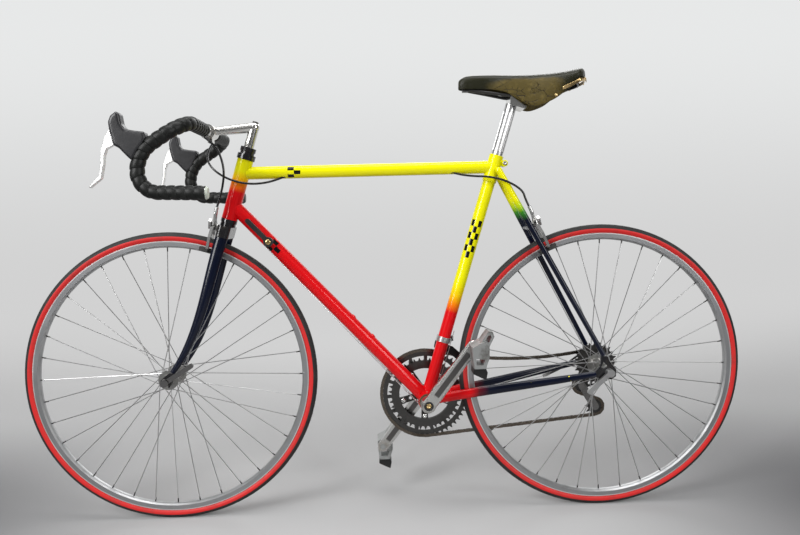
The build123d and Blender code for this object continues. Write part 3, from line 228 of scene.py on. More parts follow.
def place_on(name):
    """A new material's starting point: the object's own coordinates."""
    made = bpy.data.materials.new(name)
    made.use_nodes = True
    made.node_tree.nodes.clear()
    finishes[name] = made
    return Socket(made.node_tree).node("ShaderNodeTexCoord", output="Object")


def close(place, colour, roughness, metal=0.0, relief=None, depth=0.0003, **plain):
    """Ends a material in one Principled shader; relief is a height for the bump."""
    inputs = {"Base Color": colour if isinstance(colour, Socket) else (*colour, 1)}
    inputs.update({"Roughness": roughness, "Metallic": metal})
    inputs.update({name.replace("_", " "): value for name, value in plain.items()})
    if relief is not None:
        inputs["Normal"] = place.node("ShaderNodeBump", {}, {"Height": relief, "Distance": depth})
    shader = place.node("ShaderNodeBsdfPrincipled", {}, inputs)
    place.node("ShaderNodeOutputMaterial", {}, {"Surface": shader})


def wear(place, spread=0.12):
    """Slow and fine variation together, about 0."""
    return (place.grain(14, 3) - 0.5) * spread + (place.grain(420, 2) - 0.5) * spread * 0.5


# %% [markdown]
# ## Paint
# The frame is sprayed in three enamels that run into each other: lemon above,
# red below, and navy at the back and on the fork. A painter fades them by
# letting two coats overlap, so each tube's colour is a ramp along its own line.
# Under the clear coat lie chequered flashes, black squares bent round the tube.

# %% The enamels
LEMON = (0.84, 0.80, 0.001)
ORANGE = (0.90, 0.22, 0.001)
RED = (0.66, 0.003, 0.006)
GREEN = (0.03, 0.20, 0.015)
NAVY = (0.0015, 0.0035, 0.014)
BLACK = (0.003, 0.003, 0.0035)


def enamel(place, colour):
    """Clear coat over colour, with a little dust and rubbed places."""
    dust = place.grain(900, 2).rise(0.62, 0.80) * 0.06
    rubbed = place.grain(30, 4).rise(0.58, 0.85) * 0.03
    shown = (dust * 0.4 + rubbed).tint(colour, (0.20, 0.18, 0.15))
    close(place, shown, 0.34 + dust + rubbed,
          Coat_Weight=0.45, Coat_Roughness=0.08, Specular_IOR_Level=0.10)


def fade(place, origin, direction, stops):
    """A ramp of colours along a line; stops are in millimetres."""
    low, high = stops[0][0], stops[-1][0]
    share = (place.along(origin, direction) - low * MM) / ((high - low) * MM)
    ramp = [((far - low) / (high - low), colour) for far, colour in stops]
    return share.node("ShaderNodeValToRGB", {"stops": ramp}, {0: share})


SQUARE_DEGREES = 36  # how much of the tube's round one square takes


def chequer(place, origin, direction, rows, pattern, first):
    """1 in black squares round a tube. rows is where they start, how many and how long.

    pattern names the columns that even and odd rows fill; column 0 starts at first.
    """
    way = Vector(direction).normalized()
    _, y, _ = place.xyz()
    across = Vector((way.z, 0, -way.x))
    height = place.along(origin, across)
    turn = height.sum("ARCTAN2", height, y.size()) * (180 / math.pi)
    along = place.along(origin, way) / MM
    start, count, length = rows
    mask = None
    for row in range(count):
        for column in pattern[row % 2]:
            edge = first + column * SQUARE_DEGREES
            low = start + row * length
            square = turn.between(edge, edge + SQUARE_DEGREES, 0.6)
            square = square * along.between(low, low + length, 0.15)
            mask = square if mask is None else mask + square
    return mask


print("enamels and chequers ready")


# %% [markdown]
# The upright tubes carry the fade from red to lemon, with a flash of squares on
# the seat tube. Two more flashes sit at the front ends of the top and down tubes.

# %% Spray the main tubes
point = place_on("seat_tube_paint")
stops = [(212, RED), (232, ORANGE), (256, (0.88, 0.60, 0.001)), (284, LEMON)]
colour = fade(point, BRACKET, SEAT_UP, stops)
squares = chequer(point, BRACKET, SEAT_UP, (344, 6, 14.9), ((1,), (0, 2)), -68)
enamel(point, squares.tint(colour, BLACK))

point = place_on("head_tube_paint")
stops = [(64, RED), (84, ORANGE), (99, (0.88, 0.56, 0.001)), (113, LEMON)]
enamel(point, fade(point, HEAD_LOW, STEER_UP, stops))

top_way = spot(162, 0, 537) - spot(-411, 0, 537)
point = place_on("top_tube_paint")
squares = chequer(point, spot(-308, 0, 531), top_way, (0, 2, 14.5), ((0, 2), (1,)), -54)
enamel(point, squares.tint(LEMON, BLACK))

down_way = spot(0, 0, 0) - spot(-434.4, 0, 459.9)
point = place_on("down_tube_paint")
squares = chequer(point, spot(-352, 0, 372.7), down_way, (0, 2, 15.0), ((0, 2), (1,)), -54)
enamel(point, squares.tint(RED, BLACK))
print(len(finishes), "paints mixed")

# %% [markdown]
# The stays go from the main tubes' colours to navy. A few chips on the left chain
# stay show lemon: high spots of a noise, cut off sharply.

# %% Spray the stays and the rest
point = place_on("chain_stay_paint")
_, y, _ = point.xyz()
stops = [(98, RED), (120, (0.10, 0.006, 0.012)), (142, NAVY)]
colour = fade(point, BRACKET, (1, 0, 0), stops)
rearward = point.along(BRACKET, (1, 0, 0)).rise(0.20, 0.26)
chips = point.grain(130, 1).rise(0.735, 0.745) * rearward * (y < 0.0)
enamel(point, chips.tint(colour, LEMON))

stay_top = spot(171, 0, 528)
point = place_on("seat_stay_paint")
stops = [(74, LEMON), (96, (0.35, 0.55, 0.01)), (108, GREEN), (128, NAVY)]
enamel(point, fade(point, stay_top, spot(399.6, 0, 105) - stay_top, stops))

for name, colour in (("red_paint", RED), ("lemon_paint", LEMON), ("navy_paint", NAVY)):
    enamel(place_on(name), colour)
print(len(finishes), "paints mixed")

# %% [markdown]
# ## Metals
# The alloy parts were polished once and have dulled since: clean metal with fine
# scuffs, and a brown haze and specks where hands and rain left them. Oily steel
# is nearly black with a wet shine. They differ only in numbers, so one function
# makes them all.

# %% Alloy, steel and brass
SCUFF_DEPTH = 0.00003


def metal(name, colour, stain, roughness, haze=0.5):
    """A metal between a clean colour and its stain; haze is how much stain shows."""
    point = place_on(name)
    cloud = point.grain(22, 4).rise(0.50, 0.78) * haze
    scuffs = point.grain(700, 2)
    specks = point.grain(1100, 2).rise(0.62, 0.75) * haze
    shown = (cloud * 0.6 + specks * 0.4).tint(colour, stain)
    rough = roughness + cloud * 0.25 + (scuffs - 0.5) * 0.12
    close(point, shown, rough, 1.0, scuffs, SCUFF_DEPTH)


metal("polished_alloy", (0.80, 0.80, 0.78), (0.42, 0.39, 0.34), 0.17)
metal("satin_alloy", (0.62, 0.62, 0.61), (0.30, 0.28, 0.25), 0.34)
metal("stem_alloy", (0.80, 0.79, 0.76), (0.46, 0.36, 0.27), 0.20, 0.6)
metal("post_alloy", (0.66, 0.66, 0.66), (0.40, 0.38, 0.35), 0.34, 0.4)
metal("bright_steel", (0.50, 0.50, 0.50), (0.22, 0.20, 0.18), 0.36)
# The levers' alloy is paler than the others: a painted highlight for the bright light they reflect.
metal("lever_alloy_painted_highlight", (0.93, 0.93, 0.92), (0.70, 0.69, 0.66), 0.42, 0.4)
metal("smoked_steel", (0.30, 0.295, 0.29), (0.07, 0.06, 0.05), 0.20, 1.0)
metal("dull_alloy", (0.46, 0.455, 0.44), (0.13, 0.115, 0.095), 0.30, 1.0)
metal("dark_steel", (0.085, 0.082, 0.080), (0.030, 0.025, 0.020), 0.34, 0.9)
metal("chain_steel", (0.17, 0.145, 0.12), (0.030, 0.022, 0.015), 0.26, 1.0)
metal("ring_alloy", (0.10, 0.098, 0.095), (0.040, 0.036, 0.032), 0.32, 0.8)
metal("brass", (0.72, 0.52, 0.24), (0.24, 0.16, 0.08), 0.26, 0.8)
metal("cup_steel", (0.36, 0.30, 0.20), (0.10, 0.075, 0.045), 0.42, 0.9)
print(len(finishes), "finishes so far")

# %% [markdown]
# A strip down the middle of a crank arm's face, about the arm's own line, is
# painted dark as shade, which leaves its edges bright as a painted highlight. The
# right arm's spider, which holds the chainrings, is painted nearly black as shade.
# It lies further in than the arm, which tells them apart.

# %% Cranks: painted shade on bright alloy
crank_angle = math.radians(CRANK_DEGREES)
crank_way = Vector((math.cos(crank_angle), 0, math.sin(crank_angle)))
crank_across = Vector((crank_way.z, 0, -crank_way.x))
for name, has_spider in (("left_crank_finish", 0), ("right_crank_finish", 1)):
    point = place_on(name)
    _, y, _ = point.xyz()
    offset = point.along(BRACKET, crank_across).size()
    reach = point.along(BRACKET, crank_way).size()
    strip = reach.rise(0.026, 0.030) * (1 - reach.rise(0.148, 0.153))
    # Painted shade: a dark strip down the arm's face, and a nearly black spider.
    painted_shade_strip = (1 - offset.rise(0.0055, 0.0075)) * strip
    spider = (1 - y.rise(0.0475, 0.0485)) * has_spider
    haze = point.grain(22, 4).rise(0.5, 0.78)
    alloy = haze.tint((0.66, 0.66, 0.64), (0.36, 0.33, 0.29))
    alloy = painted_shade_strip.tint(alloy, (0.15, 0.145, 0.14))
    colour = spider.tint(alloy, (0.055, 0.052, 0.048))
    close(point, colour, 0.24 + haze * 0.15 + painted_shade_strip * 0.15, 1.0, point.grain(700, 2), SCUFF_DEPTH)
print("cranks reach along", [round(v, 3) for v in crank_way])

# %% [markdown]
# Rims and spokes carry their marks in rings round the axle: the brake track is
# brushed by the pads, and the lip next to the tyre and the tyre's bead beside it
# are painted pale as a highlight. The distance from the wheel's own axle gives those rings.


# %% Wheels: rings about an axle
BRAKE_TRACK = (303.0, 311.4)  # these four are millimetres from the axle
RIM_LIP = (311.6, 312.4)
TYRE_BEAD = (313.9, 314.6)
TREAD_EDGE = (324.4, 324.9)
TREAD_PITCH = 0.0016


def ring_distance(place, axle):
    """Distance from an axle that lies across the bicycle, in millimetres."""
    x, _, z = place.xyz()
    ahead, above = x - axle.x, z - axle.z
    return place.sum("SQRT", ahead * ahead + above * above) / MM


def rim_finish(name, axle):
    """Satin alloy, with a duller brake track and a pale lip that is a painted highlight."""
    point = place_on(name)
    away = ring_distance(point, axle)
    # Painted highlight: the lip next to the tyre is made pale.
    lip_highlight = away.rise(*RIM_LIP)
    track = away.between(*BRAKE_TRACK, 0.3)
    smudge = point.grain(16, 4).rise(0.42, 0.75)
    colour = smudge.tint((0.50, 0.505, 0.51), (0.32, 0.325, 0.33))
    colour = (track * 0.55).tint(colour, (0.36, 0.365, 0.38))
    colour = lip_highlight.tint(colour, (0.86, 0.86, 0.86))
    close(point, colour, 0.40 + smudge * 0.12, 1.0)


def tyre_finish(name, axle):
    """Black tread, red sidewalls, dust that settles in the rubber, and a pale bead that is a
    painted highlight.
    """
    point = place_on(name)
    away = ring_distance(point, axle)
    _, y, _ = point.xyz()
    tread = away.rise(*TREAD_EDGE)
    dust = point.grain(36, 5).rise(0.45, 0.8)
    ribs = away.sum("SINE", y * (2 * math.pi / TREAD_PITCH))
    walls = dust.tint((0.62, 0.014, 0.013), (0.44, 0.020, 0.017))
    rubber = dust.tint((0.010, 0.010, 0.0095), (0.030, 0.029, 0.027))
    # Painted highlight: a pale ring along the bead, next to the rim.
    bead_highlight = away.rise(*TYRE_BEAD)
    walls = bead_highlight.tint((0.62, 0.60, 0.58), walls)
    close(point, tread.tint(walls, rubber), 0.52 + tread * 0.14 + dust * 0.1, 0.0,
          ribs * tread * 0.6 + point.grain(1500, 1) * 0.3, 0.00012)


for wheel, axle in (("front", FRONT_AXLE), ("rear", REAR_AXLE)):
    rim_finish(wheel + "_rim_finish", axle)
    tyre_finish(wheel + "_tyre_finish", axle)
print(len(finishes), "finishes so far")

# %% [markdown]
# ## Rubber, plastic and tape
# Soft surfaces scatter light, so they are rough and dark with a fine grain.
# Lacquered black steel has a thin coat over it and is the glossiest of them.

# %% Soft and black finishes
def soft(name, cloud, dark, pale, roughness, relief, depth, **plain):
    """Two shades mixed by cloud, and a fine relief, both made from the point."""
    point = place_on(name)
    close(point, cloud(point).tint(dark, pale), roughness + wear(point),
          relief=relief(point), depth=depth, **plain)


soft("hood_rubber", lambda p: p.grain(45, 3).rise(0.3, 0.8), (0.014, 0.014, 0.016),
     (0.028, 0.028, 0.030), 0.34, lambda p: p.cells(1500), 0.00003, Specular_IOR_Level=0.5)
soft("black_rubber", lambda p: p.grain(60, 3), (0.016, 0.016, 0.016),
     (0.045, 0.043, 0.040), 0.55, lambda p: p.grain(900, 2), 0.00008)
soft("black_plastic", lambda p: p.grain(60, 3), (0.012, 0.012, 0.013),
     (0.035, 0.034, 0.032), 0.36, lambda p: p.grain(1200, 2), 0.00003)
soft("black_gloss", lambda p: p.grain(40, 3).rise(0.45, 0.85), (0.008, 0.008, 0.010),
     (0.040, 0.034, 0.028), 0.24, lambda p: p.grain(500, 2), 0.00003,
     Coat_Weight=0.6, Coat_Roughness=0.08)
soft("cable_sleeve", lambda p: p.grain(120, 2), (0.007, 0.007, 0.008),
     (0.020, 0.020, 0.020), 0.22, lambda p: p.grain(700, 1), 0.00002)
soft("bar_tape_foam", lambda p: p.grain(55, 4).rise(0.3, 0.8), (0.005, 0.0055, 0.005),
     (0.014, 0.015, 0.014), 0.46, lambda p: p.cells(900) + p.grain(2200, 2), 0.00005,
     Specular_IOR_Level=0.28)
soft("plug_plastic", lambda p: p.xyz()[1] > 0, (0.56, 0.60, 0.52),
     (0.012, 0.012, 0.012), 0.4, lambda p: p.grain(900, 2), 0.00004)
print(len(finishes), "finishes so far")

# %% [markdown]
# Two kinds of solid wear two finishes each. A pedal is grey alloy with a black
# hook below, and the front derailleur's band is bright on the left of the seat
# tube and black on the right. A mask by place keeps each as one material.


# %% Two-part finishes
HOOK_DROP = 38.0  # of the hook's top below the pedal's pin


def pedal_finish(name, height):
    """Grimy alloy above the hook and black plastic in it; height is the pin's."""
    point = place_on(name)
    _, _, above = point.xyz()
    edge = spot(0, 0, height - HOOK_DROP).z
    hook = 1 - above.rise(edge - 0.5 * MM, edge + 0.5 * MM)
    grime = point.grain(32, 5).rise(0.46, 0.74)
    colour = grime.tint((0.36, 0.37, 0.365), (0.12, 0.115, 0.105))
    close(point, hook.tint(colour, (0.010, 0.010, 0.010)), 0.36 + grime * 0.2,
          0.55 * (1 - hook), point.grain(600, 3), 0.00006)


pedal_finish("left_pedal_finish", PEDAL_RISE)
pedal_finish("right_pedal_finish", -PEDAL_RISE)

point = place_on("band_finish")
_, y, _ = point.xyz()
dark = y.rise(0.001, 0.002)
close(point, dark.tint((0.62, 0.62, 0.61), (0.02, 0.02, 0.02)), 0.30 + wear(point), 1 - dark * 0.6)
print(len(finishes), "finishes so far")

# %% [markdown]
# The saddle is old hide: black where it is still dressed, brown and crazed on the
# flanks where legs have rubbed it. Cracks are the cell edges of a Voronoi pattern.
# Left whole they look like a net, so a cloudy noise breaks them into pieces.


# %% Saddle hide
def crack_lines(place, stretch, scale, width, gaps):
    """Cell edges of this width; gaps is the noise that breaks them and where it cuts."""
    lines = 1 - place.stretched(stretch).cells(scale).rise(0.0, width)
    return lines * place.grain(*gaps[0]).rise(*gaps[1])


point = place_on("saddle_hide")
back = point.along(BRACKET, (1, 0, 0))
below_crown = 1 - point.along(BRACKET, (0, 0, 1)).rise(0.718, 0.742)
flank = below_crown * back.rise(0.10, 0.20) * (1 - back.rise(0.27, 0.345))
worn = (flank * 1.15 + (point.grain(26, 5) - 0.5) * 0.9).rise(0.35, 0.95)
broad = crack_lines(point, (1.0, 1.0, 1.5), 48, 0.045, ((46, 2), (0.44, 0.56)))
short = crack_lines(point, (1.3, 1.0, 1.0), 104, 0.05, ((31, 3), (0.50, 0.60)))
cracks = (broad + short * 0.7) * point.grain(24, 2).rise(0.40, 0.55) * flank.rise(0.1, 0.6)
pores = 1 - point.cells(380).rise(0.0, 0.10)
hide = worn.tint((0.014, 0.014, 0.005), (0.088, 0.064, 0.013))
hide = (point.grain(70, 5).rise(0.5, 0.8) * worn * 0.6).tint(hide, (0.21, 0.155, 0.040))
hide = cracks.tint(hide, (0.012, 0.010, 0.007))
relief = point.grain(240, 5) * 0.5 - cracks - pores * 0.12
close(point, hide, 0.36 + worn * 0.14 + wear(point, 0.2), relief=relief, depth=0.0007,
      Specular_IOR_Level=0.24)
print(len(finishes), "finishes in all")

# %% [markdown]
# ## Dress the solids
# Most of the bicycle is already the right shape, so its solids only take their
# finish. A solid's mesh is left as it came, and its material slots are refilled.

# %% Finish for each solid
dress = {
    "seat_tube_paint": "seat_tube",
    "head_tube_paint": "head_tube",
    "top_tube_paint": "top_tube",
    "down_tube_paint": "down_tube",
    "chain_stay_paint": "chain_stays",
    "seat_stay_paint": "seat_stays",
    "red_paint": "bottom_bracket_shell",
    "lemon_paint": "seat_lug",
    "navy_paint": "fork_blades",
    "black_gloss": "headset_cups headset_top fork_crown fork_ends rear_dropouts",
    "polished_alloy": "handlebar saddle_clamp",
    "post_alloy": "seatpost rear_axle",
    "lever_alloy_painted_highlight": "brake_levers",
    "stem_alloy": "stem",
    "satin_alloy": "front_brake rear_brake",
    "dull_alloy": "front_hub rear_hub rear_derailleur",
    "left_crank_finish": "crank_left",
    "right_crank_finish": "crank_right",
    "left_pedal_finish": "pedal_left",
    "right_pedal_finish": "pedal_right",
    "band_finish": "front_derailleur",
    "bright_steel": "front_spokes rear_spokes",
    "smoked_steel": "front_axle derailleur_cage",
    "dark_steel": "freewheel bottom_bracket_axle",
    "chain_steel": "chain",
    "ring_alloy": "outer_chainring inner_chainring",
    "cup_steel": "bottom_bracket_cups",
    "black_plastic": "shift_levers jockey_wheels saddle_rails saddle_frame",
    "black_rubber": "front_brake_pads rear_brake_pads",
    "plug_plastic": "bar_end_plugs",
    "front_rim_finish": "front_rim",
    "rear_rim_finish": "rear_rim",
    "front_tyre_finish": "front_tyre",
    "rear_tyre_finish": "rear_tyre",
}
dressed = set()
for finish, names in dress.items():
    for name in names.split():
        for holder in nodes[name].material_slots:
            holder.material = finishes[finish]
        dressed.add(name)
print(len(dressed), "solids dressed; to be replaced:", sorted(set(nodes) - dressed))

# %% [markdown]
# ## Making new pieces
# A piece is a mesh at the origin with its place in its vertices. These helpers
# keep that: one makes a piece, one turns live modifiers into plain mesh, and one
# rides it on its body. The others build what comes up
# often: a skin with thickness, a net of vertices, and what a lathe turns.


# %% Helpers for pieces
def smooth(made):
    """Shades a piece as one rounded surface."""
    made.data.polygons.foreach_set("use_smooth", [True] * len(made.data.polygons))


def piece(name, vertices, faces, finish):
    """An object with this mesh and finish."""
    mesh = bpy.data.meshes.new(name)
    mesh.from_pydata([tuple(v) for v in vertices], [], faces)
    mesh.materials.append(finishes[finish])
    made = stand(name, mesh)
    smooth(made)
    return made


def settle(made):
    """Applies what the modifiers do, and leaves a plain smooth mesh."""
    shown = made.evaluated_get(bpy.context.evaluated_depsgraph_get())
    mesh = bpy.data.meshes.new_from_object(shown)
    made.modifiers.clear()
    mesh.name = made.name
    made.data = mesh
    smooth(made)
    return made


def thicken(made, thick, offset):
    """Gives a skin this thickness in millimetres, and rounds its cut edges."""
    wall = made.modifiers.new("wall", "SOLIDIFY")
    wall.thickness = thick * MM
    wall.offset = offset
    finer = made.modifiers.new("finer", "SUBSURF")
    finer.levels = finer.render_levels = 2
    settle(made)


def tidy(made):
    """Merges doubles and turns every face outwards."""
    work = bmesh.new()
    work.from_mesh(made.data)
    bmesh.ops.remove_doubles(work, verts=work.verts, dist=0.01 * MM)
    bmesh.ops.recalc_face_normals(work, faces=work.faces)
    work.to_mesh(made.data)
    work.free()
    return made


def carry(made, body, slot, *stands_for):
    """Rides a piece on its body, in place of any solids it stands for; slot is not used."""
    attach(made, body)
    if stands_for:
        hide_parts(*stands_for)
    print(made.name, len(getattr(made.data, "polygons", "")), "faces on", body)


def lattice(rows, wide, closed=False):
    """Faces between neighbouring rows of vertices; closed joins each row's ends."""
    faces = []
    for row in range(rows - 1):
        for step in range(wide if closed else wide - 1):
            here, after = row * wide + step, row * wide + (step + 1) % wide
            faces.append((here, after, after + wide, here + wide))
    return faces


def circle(centre, side, other, radius, sides):
    """Vertices round a centre, in the plane of two directions."""
    turns = [2 * math.pi * step / sides for step in range(sides)]
    return [centre + (side * math.cos(a) + other * math.sin(a)) * radius * MM for a in turns]


def turned(name, outline, start, way, finish, sides):
    """A lathe-turned piece: outline holds (along, radius) in millimetres from start."""
    side, other, way = Vector(way).to_track_quat("Z", "Y").to_matrix().transposed()
    vertices = []
    for along, radius in outline:
        vertices += circle(Vector(start) + way * along * MM, side, other, radius, sides)
    return tidy(piece(name, vertices, lattice(len(outline), sides, True), finish))


def stand_work(name, work, finish):
    """A piece from a bmesh, which is freed."""
    mesh = bpy.data.meshes.new(name)
    work.to_mesh(mesh)
    work.free()
    mesh.materials.append(finish)
    return stand(name, mesh)


def joined(name, parts):
    """Several pieces as one."""
    work = bmesh.new()
    for part in parts:
        work.from_mesh(part.data)
    made = stand_work(name, work, parts[0].data.materials[0])
    for part in parts:
        bpy.data.objects.remove(part)
    return made


# %% [markdown]
# ## Cables
# A brake cable is a steel wire in a stiff black sleeve. It leaves the lever under
# the tape, swings free round the stem and drops to its brake. It bends as one
# smooth curve, so it is a NURBS line and not a chain of straight runs.

# %% Cable routes
SLEEVE = 2.5  # its radius; routes are in millimetres from the bracket
routes = {
    "front_brake_line": [
        (-483, -49.3, 608.8), (-470, -43, 598), (-455, -41, 582), (-443, -42, 540),
        (-448, -39, 502), (-457.0, -37, 475.0), (-462.9, -37, 455.9),
    ],
    "rear_brake_line_front": [
        (-484, 49.3, 608.8), (-487, 36, 600), (-489, 8, 580), (-486, -14, 558), (-468, -26, 536),
        (-440, -29, 518), (-405, -27, 507), (-370, -20, 506), (-334, -11, 514), (-312, -6, 524),
    ],
    "rear_brake_line_rear": [
        (52, -3, 531), (76, -9, 522), (110, -20, 516), (148, -31, 514), (186, -37, 504),
        (222, -38, 482), (228.7, -37, 460.2), (236.0, -37, 445.9),
    ],
    "derailleur_loop": [
        (306, 57, 37), (340, 70, 46), (375, 80, 70), (413, 85, 92), (440, 83, 88), (457, 80, 66),
        (459, 79, 39), (450, 78, 14), (432, 77, 2), (410, 76, 2),
    ],
}


def line(name, bevel):
    """A smooth curve through a route's control points."""
    curve = bpy.data.curves.new(name, "CURVE")
    curve.dimensions = "3D"
    spline = curve.splines.new("NURBS")
    spline.points.add(len(routes[name]) - 1)
    for held, place in zip(spline.points, routes[name]):
        held.co = (*spot(*place), 1)
    spline.order_u = 3
    spline.use_endpoint_u = True
    spline.resolution_u = 10
    curve.bevel_depth = bevel * MM
    curve.bevel_resolution = 4
    curve.use_fill_caps = True
    curve.materials.append(finishes["cable_sleeve"])
    return stand(name, curve)


def course(name):
    """The points that a route's curve passes through."""
    bare = line(name, 0)
    bpy.context.view_layer.update()
    shown = bare.evaluated_get(bpy.context.evaluated_depsgraph_get())
    mesh = bpy.data.meshes.new_from_object(shown)
    places = [v.co.copy() for v in mesh.vertices]
    bpy.data.curves.remove(bare.data)
    return places


def length_of(places):
    """The length of the line through these places, in metres."""
    return sum((b - a).length for a, b in zip(places, places[1:]))


# %% [markdown]
# Two of the cables keep their shape, because both ends are on one body: the front
# one on what steers, the rear one's last length on the frame.

# %% Lay the two still cables
for name, body, node in (("front_brake_line", "steering", "front_brake_cable"),
                         ("rear_brake_line_rear", "frame", "rear_brake_cable_rear")):
    long = length_of(course(name))
    made = line(name, SLEEVE)
    carry(made, body, "cable_housing", node)
    print(name, "is", round(long * 1000), "mm long")

# %% [markdown]
# The rear cable's front length starts on the bars and ends on the top tube, so it
# bends when the bars turn. Here it is a mesh tube round its line.


# %% A tube round a line
def tube(name, places, radius, finish, sides=12):
    """A closed tube that follows places, its rings kept from twisting."""
    vertices = []
    side = None
    for index, place in enumerate(places):
        ahead = places[min(index + 1, len(places) - 1)]
        way = (ahead - places[max(index - 1, 0)]).normalized()
        if side is None:
            side = way.orthogonal().normalized()
        side = (side - way * side.dot(way)).normalized()
        vertices += circle(place, side, way.cross(side), radius, sides)
    faces = lattice(len(places), sides, True)
    faces.append(tuple(reversed(range(sides))))
    last = (len(places) - 1) * sides
    faces.append(tuple(range(last, last + sides)))
    return tidy(piece(name, vertices, faces, finish))


places = course("rear_brake_line_front")
swinging = tube("rear_brake_line_front", places, SLEEVE, "cable_sleeve")
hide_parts("rear_brake_cable_front")
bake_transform(swinging)

# %% [markdown]
# The gear wires run bare below the down tube to a guide under the bottom bracket.
# They are thin and taut and already right as solids, so they are copied, and only
# the soft loop behind the axle is made again as a cable.


# %% Gear wires and the loop
def copy_of(name, node, finish, keep=lambda centre: True):
    """A merged copy of a solid, or of those of its loose parts that keep allows."""
    work = bmesh.new()
    work.from_mesh(nodes[node].data)
    bmesh.ops.remove_doubles(work, verts=work.verts, dist=0.002 * MM)
    unseen, dropped = set(work.verts), []
    while unseen:
        group, edge = set(), [next(iter(unseen))]
        while edge:
            vertex = edge.pop()
            if vertex in group:
                continue
            group.add(vertex)
            edge.extend(link.other_vert(vertex) for link in vertex.link_edges)
        unseen -= group
        if not keep(sum((v.co for v in group), Vector()) / len(group)):
            dropped.extend(group)
    bmesh.ops.delete(work, geom=dropped, context="VERTS")
    bmesh.ops.recalc_face_normals(work, faces=work.faces)
    return stand_work(name, work, finishes[finish])


loop_from = spot(*routes["derailleur_loop"][0])
wires = copy_of("gear_wires", "shift_cables", "bright_steel",
                lambda centre: centre.x < loop_from.x)
carry(wires, "frame", "steel", "shift_cables")
loop = line("derailleur_loop", SLEEVE)
loop_length = length_of(course("derailleur_loop"))
carry(loop, "frame", "cable_housing", "shift_cables")
print("gear housing loop:", round(loop_length * 1000), "mm")

# %% [markdown]
# ## Bar tape
# Tape is wound from the end of the drop towards the stem, each turn half over the
# one before, so its free edge stands proud and the rest slopes away under the
# next turn. Geometry Nodes make that as a rule: a circle is swept along the bar
# and pushed out by a saw-tooth of how far along plus how far round, so the edge
# winds as a screw.


# %% A node tree and how to run it
def tree_with(name, numbers, **others):
    """A tree from geometry to geometry that is given these numbers and others by kind."""
    tree = bpy.data.node_groups.new(name, "GeometryNodeTree")
    kinds = {"Geometry": "Geometry", **dict.fromkeys(numbers.split(), "Float"), **others}
    for label, kind in kinds.items():
        tree.interface.new_socket(label, in_out="INPUT", socket_type="NodeSocket" + kind)
    tree.interface.new_socket("Geometry", in_out="OUTPUT", socket_type="NodeSocketGeometry")
    return tree, Socket(tree).node("NodeGroupInput", output="Geometry")


def finish_tree(given, geometry):
    """Ends a tree in real geometry that wears the finish it was given."""
    real = given.node("GeometryNodeRealizeInstances", {}, {"Geometry": geometry})
    worn = given.node("GeometryNodeSetMaterial", {},
                      {"Geometry": real, "Material": given.also("Finish")})
    given.node("NodeGroupOutput", {}, {"Geometry": worn})


def grow(made, tree, sizes):
    """Runs a node tree on a piece with these sizes, and keeps the mesh it makes."""
    live = made.modifiers.new("grow", "NODES")
    live.node_group = tree
    for item in tree.interface.items_tree:
        if item.name in sizes:
            live[item.identifier] = sizes[item.name]
    made.update_tag()
    bpy.context.view_layer.update()
    return settle(made)


# %% The wrap, as a node tree
def wrap_tree():
    """Tape wound on a line: core radius, pitch, how proud the edge stands, and hand."""
    tree, given = tree_with("wrapped_tape", "Core Pitch Edge Hand", Finish="Material")

    def stored(geometry, name, value):
        settings = {"data_type": "FLOAT", "domain": "POINT"}
        return given.node("GeometryNodeStoreNamedAttribute", settings,
                          {"Geometry": geometry, "Name": name, "Value": value})

    def read(name):
        return given.node("GeometryNodeInputNamedAttribute", {"data_type": "FLOAT"}, {"Name": name})

    rail = given.node("GeometryNodeMeshToCurve", {}, {"Mesh": given})
    rail = given.node("GeometryNodeResampleCurve", {"mode": "LENGTH"},
                      {"Curve": rail, "Length": 0.9 * MM})
    rail = stored(rail, "far", given.node("GeometryNodeSplineParameter", output="Length"))
    ring = given.node("GeometryNodeCurvePrimitiveCircle", {"mode": "RADIUS"},
                      {"Resolution": 36, "Radius": given.also("Core")})
    ring = stored(ring, "round", given.node("GeometryNodeSplineParameter", output="Factor"))
    skin = given.node("GeometryNodeCurveToMesh", {},
                      {"Curve": rail, "Profile Curve": ring, "Fill Caps": True})
    turn = (read("far") / given.also("Pitch") + read("round") * given.also("Hand")) % 1.0
    bulge = turn.sum("SINE", turn * math.pi)
    lift = (turn * 0.62 + bulge * 0.42) * given.also("Edge")
    normal = given.node("GeometryNodeInputNormal")
    push = given.node("ShaderNodeVectorMath", {"operation": "SCALE"}, {0: normal, "Scale": lift})
    skin = given.node("GeometryNodeSetPosition", {}, {"Geometry": skin, "Offset": push})
    finish_tree(given, skin)
    return tree


# %% [markdown]
# The tape follows the bar: out from the stem, round to the front, down the drop
# and back. So its line is the bar's corners, each turned with the bar's radius.


# %% Bend the bar's line
BAR_HALF = 200.0
BAR_BENDS = (55, 68, 40)
BAR_DROP = [(-483, 624), (-580, 561), (-580, 484.5)]


def rounded(corners, radii, step=3.0):
    """A line through corners, each turned with its own radius, in millimetres."""
    bent = [corners[0]]
    for before, here, after, radius in zip(corners, corners[1:], corners[2:], radii):
        back, ahead = (before - here).normalized(), (after - here).normalized()
        half = back.angle(ahead) / 2
        middle = here + (back + ahead).normalized() * radius / math.sin(half)
        start = here + back * radius / math.tan(half)
        end = here + ahead * radius / math.tan(half)
        swing = math.pi - 2 * half
        count = max(2, round(radius * swing / step))
        first, last = start - middle, end - middle
        for number in range(count + 1):
            share = number / count
            back_part = first * math.sin((1 - share) * swing)
            ahead_part = last * math.sin(share * swing)
            bent.append(middle + (back_part + ahead_part) / math.sin(swing))
    bent.append(corners[-1])
    return bent


def bar_line(side, start, end):
    """The bar from this far off the middle to this far forward at the drop's end."""
    outer = [Vector((x, side * BAR_HALF, z)) for x, z in BAR_DROP + [(end, 481)]]
    return rounded([Vector((-483, side * start, 624))] + outer, BAR_BENDS)


